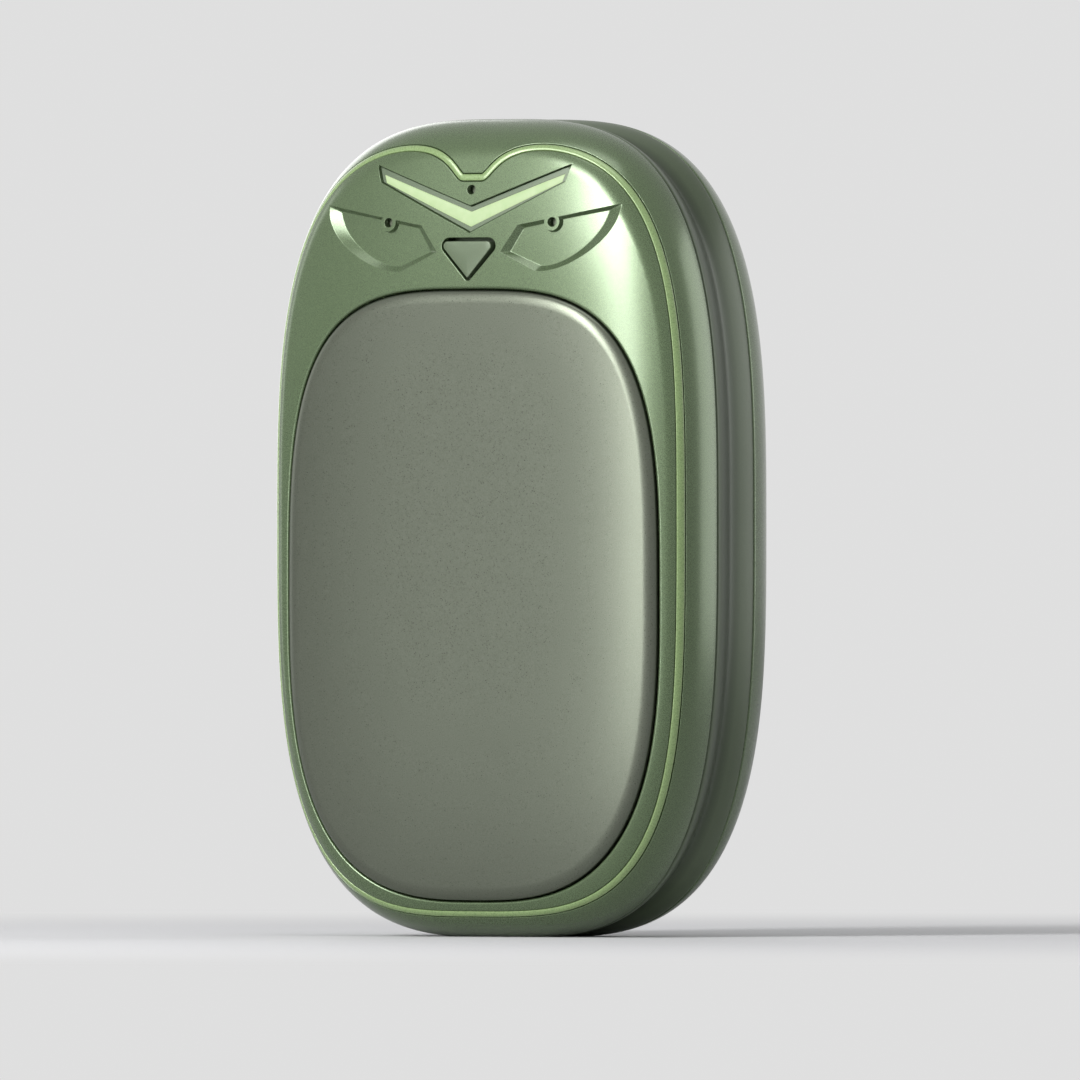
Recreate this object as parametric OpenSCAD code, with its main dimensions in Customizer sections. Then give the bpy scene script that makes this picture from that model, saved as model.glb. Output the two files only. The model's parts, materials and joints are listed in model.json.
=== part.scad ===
// Rechargeable hand warmer, an upright pebble with two bonded heat plates and an animal face panel.
// It stands on z = 0 with its front towards -Y. Lengths are in millimetres.

/* [Body] */
// Height of the body from its foot to its top
body_h = 105; // [100:0.5:112]
// Width of the body at its widest
body_w = 63; // [61:0.2:70]
// Depth of the body from the front crown to the back crown
body_d = 28.2; // [27.6:0.2:32]
// Exponent of the outline, two for an ellipse and more for a squarer one
outline_power = 3.16; // [3:0.02:3.4]
// Depth of the flat cut that the body stands on
foot_cut = 0.2; // [0.15:0.05:0.3]

/* [Outer skin] */
// Width of the waist band between the two seams
waist_w = 9.5; // [8.5:0.5:11]
// Depth of the hollow that runs round the waist band
waist_hollow = 0.5; // [0.2:0.1:0.8]
// How far the side leans in between the seam and the shoulder
side_inset = 1.7; // [1.6:0.05:2]
// How far the shoulder starts behind the crown
shoulder_drop = 3; // [2.8:0.1:3.2]
// How far inside the outline the crowned face starts
face_inset = 4.2; // [4:0.1:4.6]
// Fall of the crowned face from its middle to its edge
crown = 2; // [1.8:0.05:2.2]
// Bevel along the edge of each seam
seam_bevel = 0.18; // [0.1:0.02:0.26]

/* [Walls] */
// Wall of the two shells at their sides
side_wall = 1.6; // [1.3:0.1:1.9]
// Wall of the two shells behind their faces
face_wall = 2.4; // [2.1:0.1:2.7]
// Wall of the waist frame, measured from the outline
frame_wall = 2.9; // [2.7:0.1:3.1]
// Length of the frame's lips inside the shells
lip_l = 1.6; // [1:0.2:2.4]
// Clearance round each lip
lip_gap = 0.12; // [0.08:0.02:0.2]

/* [Heat plates] */
// Outline to plate gap, at the side
plate_side_rim = 4.2; // [4:0.1:5]
// Outline to plate gap, at the bottom
plate_bottom_rim = 4.8; // [4.6:0.1:5.6]
// Height of the face panel above the plate
panel_h = 22; // [21.6:0.1:23]
// Width of the gap round a plate
plate_gap = 0.6; // [0.3:0.1:0.8]
// Thickness of a plate
plate_t = 0.8; // [0.6:0.05:0.9]
// How far a plate lies below the rim
plate_sink = 0.1; // [0.05:0.05:0.2]
// Thickness of the adhesive under a plate
seal_t = 0.15; // [0.1:0.05:0.2]
// Thickness of a heater film
film_t = 0.25; // [0.15:0.05:0.35]

/* [Trim and face] */
// Inset of the trim ring's middle line at the sides
trim_inset = 1.68; // [1.6:0.02:1.8]
// Inset of the trim ring's middle line at the bottom, and at the top without its dip
trim_end_inset = 2.2; // [2:0.05:2.4]
// Exponent of the trim ring's outline, which is squarer than the body's
trim_power = 3.36; // [3.2:0.02:3.5]
// Half the trim ring's width, as an inset
trim_half = 0.2; // [0.14:0.02:0.24]
// Gap beside the trim ring, as an inset
trim_gap = 0.1; // [0.06:0.01:0.12]
// Depth of the trim ring
trim_t = 0.6; // [0.5:0.05:0.7]
// How far in the trim ring dips at the top, as an inset
dip_inset = 2.9; // [2:0.1:3.1]
// Half the flat bottom of the dip
dip_half = 1.4; // [1:0.1:2]
// Length over which the dip fades out
dip_reach = 3; // [2:0.1:3.6]
// Top of the body to the upper corner of the light bar's middle
bar_drop = 11.2; // [10.9:0.1:11.6]
// Side of the body to a tip of the light bar's recess
bar_side_room = 17.15; // [17:0.1:20]
// Rise of the light bar from its middle to its tips
bar_rise = 5.3; // [4:0.1:5.6]
// Height of the light bar's recess in the middle
bar_mid_h = 3.5; // [3.2:0.1:3.8]
// Height of the light bar's recess at the tips
bar_tip_h = 2.3; // [2.1:0.1:2.6]
// Border of the recess above and below the lit strip
bar_border = 0.8; // [0.5:0.05:0.85]
// Depth of the recess in front of its floor
bar_depth = 0.35; // [0.2:0.05:0.5]
// Top of the body to the lowest point of an eye recess
eye_drop = 19.6; // [19.2:0.1:20]
// Middle of the face to the inner corner of an eye recess
eye_x = 4.6; // [4.4:0.1:5.4]
// Side of the body to the outer tip of an eye recess
eye_side_room = 9.8; // [9.5:0.1:12]
// Height of an eye recess
eye_h = 8.6; // [7.6:0.1:8.8]
// Depth of an eye recess
eye_depth = 0.3; // [0.15:0.05:0.5]
// Diameter of an indicator pinhole
pin_d = 1.2; // [1:0.1:1.4]
// Top of the body to the middle pinhole
pin_drop = 9.15; // [8.9:0.05:9.3]
// Radius of the collar round an eye's pinhole
collar_r = 1.05; // [0.9:0.05:1.3]

/* [Power button] */
// Top of the body to the top of the button's hole
button_drop = 15.34; // [15.2:0.02:15.8]
// Half the width of the button's hole
button_half = 3.95; // [3.6:0.05:4.1]
// Height of the button's hole
button_h = 5.47; // [5:0.05:5.8]
// Gap between the button and its hole
button_gap = 0.45; // [0.3:0.05:0.55]
// How far the button stands out of the face
button_proud = 0.4; // [0.2:0.05:0.7]
// Travel of the button
button_travel = 0.5; // [0.3:0.05:0.6]

/* [Battery] */
// Side of the body to the side of a battery cell
cell_side_room = 9.5; // [9.2:0.1:11]
// Plate's upper edge to the top of a battery cell
cell_top_room = 8.5; // [8.4:0.1:11]
// Bottom of the body to the bottom of a battery cell
cell_bottom_room = 18.7; // [18.5:0.1:22]
// Crown of the body to the front of a battery cell
cell_front_room = 4.3; // [4.2:0.1:5]
// Corner radius of a cell
cell_corner = 2; // [1:0.5:3]

/* [Chassis and boards] */
// Wall of the chassis round the battery
chassis_wall = 1.5; // [1.2:0.1:1.6]
// Depth of the chassis
chassis_d = 12; // [8:0.5:12]
// Width of the control board
board_w = 34.6; // [33:0.2:35]
// Height of the control board
board_h = 14.5; // [14:0.1:14.8]
// Thickness of a circuit board
board_t = 1.2; // [0.8:0.1:1.6]
// Top of the body to the top of the control board
board_drop = 7.5; // [7.2:0.1:7.6]
// Width of the charging port's board
port_board_w = 16; // [14:0.5:18]
// Height of the charging port's board
port_board_h = 10; // [8:0.5:10]
// Radius of the screw posts
post_r = 2.4; // [2.2:0.1:2.5]
// Middle of the body to an upper case screw, sideways
upper_screw_x = 12; // [11.5:0.5:12.5]
// Middle of the body to a lower case screw, sideways
lower_screw_x = 14; // [13:0.5:15]

/* [Hidden] */
$fn = 48;

// Overrun of every cut
over = 0.5;
// Clearance between neighbouring pieces that don't move
fit = 0.05;

half_w = body_w / 2;
half_h = (body_h + foot_cut) / 2;
half_d = body_d / 2;
middle_z = half_h - foot_cut;
seam_y = waist_w / 2;
shoulder_y = half_d - shoulder_drop;
face_edge_y = half_d - crown;
// The outline draws in faster at the top and the bottom than at the sides
tall_share = 1.4;
crown_power = 5.1;
face_w = half_w - face_inset;
face_h = half_h - tall_share * face_inset;

// Profile of a shell: how far in front of the middle plane the skin lies at an inset q
side_slope = (shoulder_y - seam_y) / side_inset;
face_slope = crown * crown_power / face_w;
turn_q = side_inset + (face_edge_y - shoulder_y - face_slope * (face_inset - side_inset))
    / (side_slope - face_slope);
turn_y = shoulder_y + side_slope * (turn_q - side_inset);
function turn_u(q) = let (
    a = side_inset - 2 * turn_q + face_inset,
    b = 2 * (turn_q - side_inset),
    c = side_inset - q)
    abs(a) < 1e-9 ? -c / b : (sqrt(max(b * b - 4 * a * c, 0)) - b) / (2 * a);
function bend(p, q, r, u) = (1 - u) * (1 - u) * p + 2 * u * (1 - u) * q + u * u * r;
function level(q) =
    q <= side_inset ? seam_y + side_slope * q :
    q < face_inset ? bend(shoulder_y, turn_y, face_edge_y, turn_u(q)) :
    half_d - crown * pow(max(1 - (q - face_inset) / face_w, 0), crown_power);

// Point of the outline drawn in by q, in the direction t, at a distance y in front of the middle plane
function unit_point(t, n) = pow(pow(abs(cos(t)), n) + pow(abs(sin(t)), n), -1 / n) * [cos(t), sin(t)];
function reach(q) = q < face_inset ? [half_w - q, half_h - tall_share * q]
    : (1 - (q - face_inset) / face_w) * [face_w, face_h];
function ring_point(q, t, y) = let (u = unit_point(t, outline_power), r = reach(q))
    [r.x * u.x, -y, middle_z + r.y * u.y];
// Point of the skin, or h below it along the skin's mean normal round the inset facing
function skin_point(q, t, h = 0, facing = 0) = let (
    e = 3 * trim_half,
    rise = level(facing + e) - level(facing - e),
    l = norm([2 * e, rise]))
    ring_point(q + h * rise / l, t, level(q) - h * 2 * e / l);

// Inset of the skin at a place in the front view, measured from the middle of the body
function search_q(x, z, low, high, steps) = let (q = (low + high) / 2, r = reach(q))
    steps == 0 ? q :
    pow(abs(x) / r.x, outline_power) + pow(abs(z) / r.y, outline_power) < 1
        ? search_q(x, z, q, high, steps - 1) : search_q(x, z, low, q, steps - 1);
function skin_q(x, z) = let (
    share = pow(pow(abs(x) / face_w, outline_power) + pow(abs(z) / face_h, outline_power), 1 / outline_power))
    share <= 1 ? face_inset + (1 - share) * face_w : search_q(x, z, 0, face_inset, 24);
// The front skin's y at that place
function skin_y(x, z) = -level(skin_q(x, z));
function on_skin(p, h) = [p.x, skin_y(p.x, p.y) + h, middle_z + p.y];

// Directions of the shells' columns, closer together beside the dip of the trim ring
fine_count = 6;
wide_count = 62;
fine_step = asin(dip_half / (half_w - trim_inset));
wide_step = (360 - 2 * fine_count * fine_step) / wide_count;
columns = concat([for (k = [-fine_count : fine_count]) 90 + k * fine_step],
    [for (k = [1 : wide_count - 1]) 90 + fine_count * fine_step + k * wide_step]);
even_columns = [for (k = [0 : 63]) k * 360 / 64];

// Inset of the trim ring's middle line and half its width, which both swell at the dip
function dip_share(t) = sin(t) <= 0 ? 0
    : exp(-max(abs((half_w - trim_inset) * unit_point(t, outline_power).x) - dip_half, 0) / dip_reach);
function trim_q(t) = trim_inset + (trim_end_inset - trim_inset) * sin(t) * sin(t) + dip_inset * dip_share(t)
    - half_w * (norm(unit_point(t, trim_power)) / norm(unit_point(t, outline_power)) - 1);
dip_swell = 0.5;
function trim_w(t) = trim_half * (1 + dip_swell * dip_share(t));

// Solid through rings of points. With end points it closes in a fan at each, and without them it is a loop.
module ring_solid(rings, ends = []) {
    n = len(rings[0]);
    m = len(rings);
    loop = len(ends) == 0;
    walls = [for (i = [0 : loop ? m - 1 : m - 2], j = [0 : n - 1])
        let (k = (j + 1) % n, next = (i + 1) % m, a = i * n + j, c = next * n + k)
        each [[a, i * n + k, c], [a, c, next * n + j]]];
    fans = loop ? [] : [for (j = [0 : n - 1])
        each [[n * m, (j + 1) % n, j], [n * m + 1, (m - 1) * n + j, (m - 1) * n + (j + 1) % n]]];
    polyhedron(concat([for (r = rings) each r], ends), concat(walls, fans), convexity = 8);
}

// Solid that follows the front skin over an outline round a middle point, from one depth to another
slab_shares = [0.45, 0.78, 0.93, 1];
module skin_slab(outline, middle, front, back) {
    function ring(share, h) = [for (p = outline) on_skin(middle + share * (p - middle), h)];
    ring_solid(concat([for (s = slab_shares) ring(s, front)],
        [for (k = [len(slab_shares) - 1 : -1 : 0]) ring(slab_shares[k], back)]),
        [on_skin(middle, front), on_skin(middle, back)]);
}

// The same with a flat back
module flat_backed_slab(outline, middle, front, back_y) {
    ring_solid(concat([for (s = slab_shares) [for (p = outline) on_skin(middle + s * (p - middle), front)]],
        [[for (p = outline) [p.x, back_y, middle_z + p.y]]]),
        [on_skin(middle, front), [middle.x, back_y, middle_z + middle.y]]);
}

// Prism of a front view outline between two depths
module prism(y1, y2) {
    translate([0, y2, middle_z]) rotate([90, 0, 0]) linear_extrude(y2 - y1) children();
}

// Cylinder along Y between two depths, at a place in the front view
module pin(x, z, r, y1, y2) {
    translate([x, y2, middle_z + z]) rotate([90, 0, 0]) cylinder(r = r, h = y2 - y1);
}

module box(x1, x2, y1, y2, z1, z2) {
    translate([x1, y1, middle_z + z1]) cube([x2 - x1, y2 - y1, z2 - z1]);
}

module rounded_plate(w, h, r) {
    translate([0, -h / 2]) union() {
        translate([-w / 2 + r, 0]) square([w - 2 * r, h]);
        translate([-w / 2, r]) square([w, h - 2 * r]);
        for (x = [-1, 1], z = [r, h - r]) translate([x * (w / 2 - r), z]) circle(r);
    }
}

module both_sides() {
    children();
    mirror([1, 0, 0]) children();
}

module foot_plane() {
    translate([-half_w, -half_d, -over]) cube([body_w, body_d, over]);
}

// Heat plate outline, squarer above than below
plate_w = half_w - plate_side_rim;
plate_top = half_h - panel_h;
plate_bottom = -half_h + plate_bottom_rim;
plate_h = (plate_top - plate_bottom) / 2;
plate_z = (plate_top + plate_bottom) / 2;
plate_upper_power = 3.3;
plate_lower_power = 2.9;
function plate_outline(grow) = [for (t = even_columns)
    let (u = unit_point(t, t < 180 ? plate_upper_power : plate_lower_power))
    [(plate_w + grow) * u.x, plate_z + (plate_h + grow) * u.y]];
plate_middle = [0, plate_z];
plate_floor = plate_sink + plate_t + seal_t + 3 * fit;

// Battery stack and what lies between it and the plates
divider_t = 0.5;
cell_w = body_w - 2 * cell_side_room;
cell_top = plate_top - cell_top_room;
cell_h = cell_top + half_h - cell_bottom_room;
cell_z = cell_top - cell_h / 2;
cell_front = cell_front_room - half_d;
cell_t = -cell_front - divider_t / 2 - fit;
film_margin = 2;
film_w = cell_w - 2 * film_margin;
film_h = cell_h - 2 * film_margin;
window_gap = 1;
foam_margin = 4;
foam_w = film_w - 2 * foam_margin;
foam_h = film_h - 2 * foam_margin;
film_corner = 3;
film_front = plate_sink + plate_t + 3 * fit;
seal_front = plate_sink + plate_t + 1.5 * fit;
ribbon_t = 0.2;
ribbon_w = 7;

corner_steps = 3;
function rounded_outline(w, h, r, z) = [for (c = [0 : 3], k = [0 : corner_steps])
    let (t = 90 * (c + k / corner_steps), s = [[1, 1], [-1, 1], [-1, -1], [1, -1]][c])
    [s.x * (w / 2 - r) + r * cos(t), z + s.y * (h / 2 - r) + r * sin(t)]];

// Chassis and its screws
chassis_gap = 0.3;
chassis_w = cell_w + 2 * (chassis_gap + chassis_wall);
chassis_h = cell_h + 2 * (chassis_gap + chassis_wall);
ear_t = 1.6;
post_gap = 0.25;
upper_screw_z = cell_z + chassis_h / 2 + post_r + post_gap;
lower_screw_z = cell_z - chassis_h / 2 - post_r - post_gap;
screw_places = [[upper_screw_x, upper_screw_z], [-upper_screw_x, upper_screw_z],
    [lower_screw_x, lower_screw_z], [-lower_screw_x, lower_screw_z]];
screw_r = 0.98;
thread_gap = 0.02;
screw_hole_r = 1.15;
screw_l = 8;
head_r = 1.8;
head_h = 1.4;
head_gap = 0.25;
seat_t = 2.4;

// Button, switch and control board, one behind the other
button_top = half_h - button_drop;
button_z = button_top - button_h / 2;
button_y = skin_y(0, button_z);
button_corner = 1.05;
button_tip = 0.5;
flange_y = button_y + face_wall + button_gap;
flange_t = 0.8;
flange_out = 1;
stem_r = 1.2;
stem_l = 0.9;
plunger_r = 1;
plunger_rise = 0.7;
plunger_sunk = 0.8;
switch_w = 5.2;
switch_t = 3;
stem_y = flange_y + flange_t + stem_l;
plunger_y = stem_y + fit;
switch_y = plunger_y + plunger_rise;
board_y = switch_y + switch_t;
board_back = board_y + board_t;
board_top = half_h - board_drop;
board_z = board_top - board_h / 2;
board_corner = 2.5;
board_screw_x = board_w / 2 - 2.2 * screw_r;
board_screw_z = board_top - board_h + 3.2 * screw_r;
board_post_r = 2;
small_screw_r = 0.75;
small_screw_l = 5;
small_head_r = 1.5;
small_head_h = 1.1;

// Triangular outline with its tip down and rounded corners, drawn in by a gap
function arc(c, r, from, to, steps) = [for (k = [0 : steps])
    let (t = from + (to - from) * k / steps) [c.x + r * cos(t), c.y + r * sin(t)]];
function button_outline(gap) = let (
    // Centres of the corner arcs, and the direction square to the slanting side
    cx = button_half - button_corner,
    cz = button_top - button_corner,
    tz = button_top - button_h + button_tip,
    run = norm([cx, cz - tz]),
    lean = atan2(cz - tz, cx),
    turn = lean - 90 + asin((button_corner - button_tip) / run))
    concat(arc([cx, cz], button_corner - gap, turn, 90, 5),
        arc([-cx, cz], button_corner - gap, 90, 180 - turn, 5),
        arc([0, tz], max(button_tip - gap, button_tip / 10), 180 - turn, 360 + turn, 4));

// Light bar recess and lit strip, as outlines that rise from the middle to the tips
bar_top = half_h - bar_drop;
bar_half = half_w - bar_side_room;
tip_lean = 0.75;
tip_border = 1;
strip_tip_h = bar_tip_h - 1.6 * bar_border;
bar_floor = 1.05;
guide_l = 4.4;
function chevron(x, z_top, rise, mid_h, tip_h, lean) = [[-x, z_top + rise], [-x + lean, z_top + rise - tip_h],
    [0, z_top - mid_h], [x - lean, z_top + rise - tip_h], [x, z_top + rise], [0, z_top]];
module bar_shape() {
    polygon(chevron(bar_half, bar_top, bar_rise, bar_mid_h, bar_tip_h, tip_lean));
}
strip_half = bar_half - tip_border;
strip_rise = bar_rise * strip_half / bar_half - tip_border / 8;
strip_mid_h = bar_mid_h - 2 * bar_border;
module strip_shape(grow = 0) {
    polygon(chevron(strip_half + grow, bar_top - bar_border + grow, strip_rise, strip_mid_h + 2 * grow,
        strip_tip_h + 2 * grow, tip_lean / 2));
}
// Layer that follows the front skin, for cutting the bar's pieces to depth
layer_steps = 10;
module skin_layer(front, back) {
    low = bar_top - bar_mid_h - over;
    high = bar_top + bar_rise + over;
    wide = bar_half + over;
    function row(z, h) = [for (k = [0 : layer_steps]) on_skin([wide * (2 * k / layer_steps - 1), z], h)];
    heights = [for (k = [0 : 3]) low + (high - low) * k / 3];
    n = layer_steps + 1;
    points = concat([for (z = heights) each row(z, front)], [for (z = heights) each row(z, back)]);
    m = len(heights);
    s = n * m;
    sheet = [for (i = [0 : m - 2], j = [0 : n - 2]) let (a = i * n + j) each
        [[a, a + n + 1, a + 1], [a, a + n, a + n + 1], [s + a, s + a + 1, s + a + n + 1],
            [s + a, s + a + n + 1, s + a + n]]];
    ends = [for (j = [0 : n - 2]) let (a = j, b = (m - 1) * n + j) each
        [[a, a + 1, s + a + 1], [a, s + a + 1, s + a], [b, s + b + 1, b + 1], [b, s + b, s + b + 1]]];
    sides = [for (i = [0 : m - 2]) let (a = i * n, b = i * n + n - 1) each
        [[a, s + a, s + a + n], [a, s + a + n, a + n], [b, s + b + n, s + b], [b, b + n, s + b + n]]];
    polyhedron(points, concat(sheet, ends, sides), convexity = 4);
}

// Eye recess outline, in shares of its width and height from its inner lower corner
eye_shares = [[0, 0.29], [0.31, 0], [0.485, 0.023], [0.637, 0.151], [0.807, 0.372], [0.947, 0.686],
    [0.982, 0.85], [1, 1], [0.55, 0.83], [0.146, 0.686]];
eye_middle_share = [0.5, 0.42];
eye_pin_share = [0.439, 0.727];
eye_w = half_w - eye_side_room - eye_x;
eye_z = half_h - eye_drop;
function eye_place(share) = [eye_x + eye_w * share.x, eye_z + eye_h * share.y];
eye_pin = eye_place(eye_pin_share);
pin_places = [[0, half_h - pin_drop], eye_pin, [-eye_pin.x, eye_pin.y]];

// Charging port at the middle of the bottom
port_w = 8.94;
port_t = 3.26;
port_l = 7.3;
port_shell_t = 0.3;
port_gap = 0.2;
port_z = -half_h + tall_share * waist_hollow + fit;
port_board_y = port_t / 2 + fit;
port_board_z = -half_h + tall_share * frame_wall + 3 * post_gap;
finger_w = 2.4;
finger_t = 1.6;
tongue_w = 6.7;
tongue_t = 0.7;
tongue_back = 1.6;
module slot_shape(w, t) {
    union() {
        translate([-(w - t) / 2, -t / 2]) square([w - t, t]);
        for (x = [-1, 1]) translate([x * (w - t) / 2, 0]) circle(t / 2);
    }
}

// Shell between the seam and the crown, with the skin's insets given for each direction
inner_shares = [0.2, 0.4, 0.65, 0.85];
module shell(insets, cols) {
    inner_side = side_wall * norm([1, side_slope]) / side_slope;
    corner_y = face_edge_y - face_wall;
    corner_q = inner_side + (corner_y - seam_y) / side_slope;
    inside = concat([[inner_side, seam_y], [corner_q, corner_y]],
        [for (s = inner_shares) let (q = corner_q + s * (half_w - corner_q)) [q, level(q) - face_wall]]);
    outside = [for (row = insets) [for (k = [0 : len(cols) - 1])
        skin_point(row[k].x, cols[k], row[k].y, trim_q(cols[k]))]];
    rim = [for (t = cols) ring_point(seam_bevel, t, seam_y)];
    rings = concat([for (k = [len(outside) - 1 : -1 : 0]) outside[k]], [rim],
        [for (p = inside) [for (t = cols) ring_point(p.x, t, p.y)]]);
    ring_solid(rings, [[0, -half_d, middle_z], [0, face_wall - half_d, middle_z]]);
}
face_insets = [7, 11, 17, 24];
first_inset = seam_bevel / side_slope;
low_inset = 0.8;
rise_shares = [0.35, 0.6, 0.8];
turn_shares = [0.08, 0.17, 0.27, 0.5];

module plate_bed() {
    skin_slab(plate_outline(plate_gap / 2), plate_middle, -shoulder_drop, plate_floor);
    prism(-half_d, 0) translate([0, cell_z])
        rounded_plate(film_w + 2 * window_gap, film_h + 2 * window_gap, film_corner);
}

module front_shell() {
    function edge(t, side) = trim_q(t) + side * (trim_w(t) + trim_gap);
    depth = trim_t + fit;
    insets = concat(
        [for (q = [first_inset, low_inset]) [for (t = columns) [q, 0]]],
        [for (s = rise_shares) [for (t = columns) [low_inset + s * (edge(t, -1) - low_inset), 0]]],
        [for (p = [[-1, 0], [-1, depth], [1, depth], [1, 0]]) [for (t = columns) [edge(t, p.x), p.y]]],
        [for (s = turn_shares) [for (t = columns) [edge(t, 1) + s * (face_insets[0] - edge(t, 1)), 0]]],
        [for (q = face_insets) [for (t = columns) [q, 0]]]);
    color([0.47, 0.55, 0.42]) difference() {
        union() {
            shell(insets, columns);
            for (p = screw_places) pin(p.x, p.y, post_r, skin_y(p.x, p.y) + plate_floor + over, -ear_t / 2);
            both_sides() pin(board_screw_x, board_screw_z, board_post_r,
                skin_y(board_screw_x, board_screw_z) + over, board_y);
        }
        plate_bed();
        both_sides() difference() {
            skin_slab([for (s = eye_shares) eye_place(s)], eye_place(eye_middle_share), -over, eye_depth);
            pin(eye_pin.x, eye_pin.y, collar_r, -half_d, 0);
        }
        intersection() {
            prism(-half_d - over, 0) bar_shape();
            skin_layer(-over, bar_floor);
        }
        prism(-half_d, 0) strip_shape(fit);
        for (p = pin_places) pin(p.x, p.y, pin_d / 2, -half_d - over, 0);
        prism(-half_d - over, 0) polygon(button_outline(0));
        for (p = screw_places) pin(p.x, p.y, screw_r + thread_gap, seat_t - screw_l, 0);
        both_sides() pin(board_screw_x, board_screw_z, small_screw_r + thread_gap,
            board_back - small_screw_l - fit, 0);
        foot_plane();
    }
}

module back_shell() {
    insets = [for (q = concat([first_inset, low_inset, side_inset], [for (s = [0.2, 0.45, 0.7])
        side_inset + s * (face_inset - side_inset)], [face_inset, 1.35 * face_inset], face_insets))
        [for (t = even_columns) [q, 0]]];
    color([0.46, 0.53, 0.42]) mirror([0, 1, 0]) difference() {
        union() {
            shell(insets, even_columns);
            for (p = screw_places)
                pin(p.x, p.y, post_r + fit, skin_y(p.x, p.y) + plate_floor + over, -ear_t / 2);
        }
        plate_bed();
        for (p = screw_places) {
            pin(p.x, p.y, screw_hole_r, -half_d, 0);
            pin(p.x, p.y, head_r + head_gap, -half_d, -ear_t / 2 - seat_t);
        }
        foot_plane();
    }
}

module mid_frame() {
    lip_q = side_wall * norm([1, side_slope]) / side_slope + lip_gap;
    band = [for (k = [-3 : 3]) let (share = k / 3) [waist_hollow * (1 - share * share), seam_y * share]];
    tip_q = lip_q + lip_l / side_slope;
    lip = [[lip_q, seam_y], [tip_q, seam_y + lip_l], [frame_wall, seam_y + lip_l]];
    section = concat(band, lip, [for (k = [2 : -1 : 0]) [lip[k].x, -lip[k].y]]);
    color([0.42, 0.48, 0.38]) difference() {
        ring_solid([for (p = section) [for (t = even_columns) ring_point(p.x, t, -p.y)]]);
        translate([0, 0, -over]) linear_extrude(frame_wall * tall_share + 2 * over)
            slot_shape(port_w + 2 * port_gap, port_t + 2 * port_gap);
        foot_plane();
    }
}

module trim_ring() {
    color([0.56, 0.65, 0.48]) ring_solid([for (p = [[1, 0], [-1, 0], [-1, trim_t], [1, trim_t]])
        [for (t = columns) skin_point(trim_q(t) + p.x * trim_w(t), t, p.y, trim_q(t))]]);
}

module light_bar_bezel() {
    color([0.40, 0.46, 0.36]) difference() {
        intersection() {
            prism(-half_d, 0) offset(delta = -fit) bar_shape();
            skin_layer(bar_depth, bar_floor - fit);
        }
        prism(-half_d - over, 0) strip_shape(fit);
    }
}

// Lit strip with the light guide behind it
module light_bar() {
    color([0.88, 1, 0.78]) intersection() {
        prism(-half_d, guide_l - half_d) strip_shape();
        skin_layer(bar_depth / 2, half_d);
    }
}

flange_r = 1.4;
flange_h = 0.8;
flange_gap = 0.3;
module indicator_light_pipes() {
    color([0.82, 0.86, 0.8]) for (p = pin_places) {
        y = skin_y(p.x, p.y);
        pin(p.x, p.y, pin_d / 2 - fit, y + eye_depth + fit, board_y - flange_r);
        pin(p.x, p.y, flange_r, y + face_wall + flange_gap, y + face_wall + flange_gap + flange_h);
    }
}

module power_button() {
    face_y = button_y - button_proud;
    color([0.45, 0.5, 0.41]) union() {
        prism(face_y, flange_y + fit) polygon(button_outline(button_gap));
        prism(flange_y, flange_y + flange_t) polygon(button_outline(button_gap - flange_out));
        pin(0, button_z, stem_r, flange_y + flange_t - fit, stem_y);
    }
}

module tact_switch() {
    color([0.2, 0.2, 0.2]) difference() {
        box(-switch_w / 2, switch_w / 2, switch_y, board_y, button_z - switch_w / 2, button_z + switch_w / 2);
        pin(0, button_z, plunger_r + fit, switch_y - over, switch_y + plunger_sunk + button_travel + 2 * fit);
    }
}

module switch_plunger() {
    color([0.9, 0.9, 0.86]) pin(0, button_z, plunger_r, plunger_y, switch_y + plunger_sunk);
}

module heat_plate() {
    skin_slab(plate_outline(-plate_gap / 2), plate_middle, plate_sink, plate_sink + plate_t);
}

module front_heat_plate() {
    color([0.49, 0.52, 0.45]) heat_plate();
}

module back_heat_plate() {
    color([0.48, 0.51, 0.44]) mirror([0, 1, 0]) heat_plate();
}

module plate_seal() {
    difference() {
        skin_slab(plate_outline(-2 * plate_gap), plate_middle, seal_front, seal_front + seal_t);
        prism(-half_d, 0) translate([0, cell_z])
            rounded_plate(film_w + 3 * window_gap, film_h + 3 * window_gap, film_corner);
    }
}

module front_plate_seal() {
    color([0.12, 0.12, 0.12]) plate_seal();
}

module back_plate_seal() {
    color([0.12, 0.12, 0.12]) mirror([0, 1, 0]) plate_seal();
}

module heater_film() {
    skin_slab(rounded_outline(film_w, film_h, film_corner, cell_z), [0, cell_z],
        film_front, film_front + film_t);
}

module front_heater_film() {
    color([0.8, 0.45, 0.15]) heater_film();
}

module back_heater_film() {
    color([0.8, 0.45, 0.15]) mirror([0, 1, 0]) heater_film();
}

module foam_pad(back_y) {
    flat_backed_slab(rounded_outline(foam_w, foam_h, film_corner, cell_z), [0, cell_z],
        film_front + film_t + 3 * fit, back_y);
}

module front_foam_pad() {
    color([0.25, 0.25, 0.27]) foam_pad(cell_front - fit);
}

module back_foam_pad() {
    color([0.25, 0.25, 0.27]) mirror([0, 1, 0]) foam_pad(cell_front - 3 * fit - ribbon_t);
}

module battery_cell() {
    prism(cell_front, cell_front + cell_t) translate([0, cell_z]) rounded_plate(cell_w, cell_h, cell_corner);
}

module front_battery_cell() {
    color([0.72, 0.74, 0.76]) battery_cell();
}

module back_battery_cell() {
    color([0.72, 0.74, 0.76]) mirror([0, 1, 0]) battery_cell();
}

module cell_divider() {
    color([0.15, 0.15, 0.16]) prism(-divider_t / 2, divider_t / 2) translate([0, cell_z])
        rounded_plate(film_w, film_h, film_corner);
}

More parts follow.
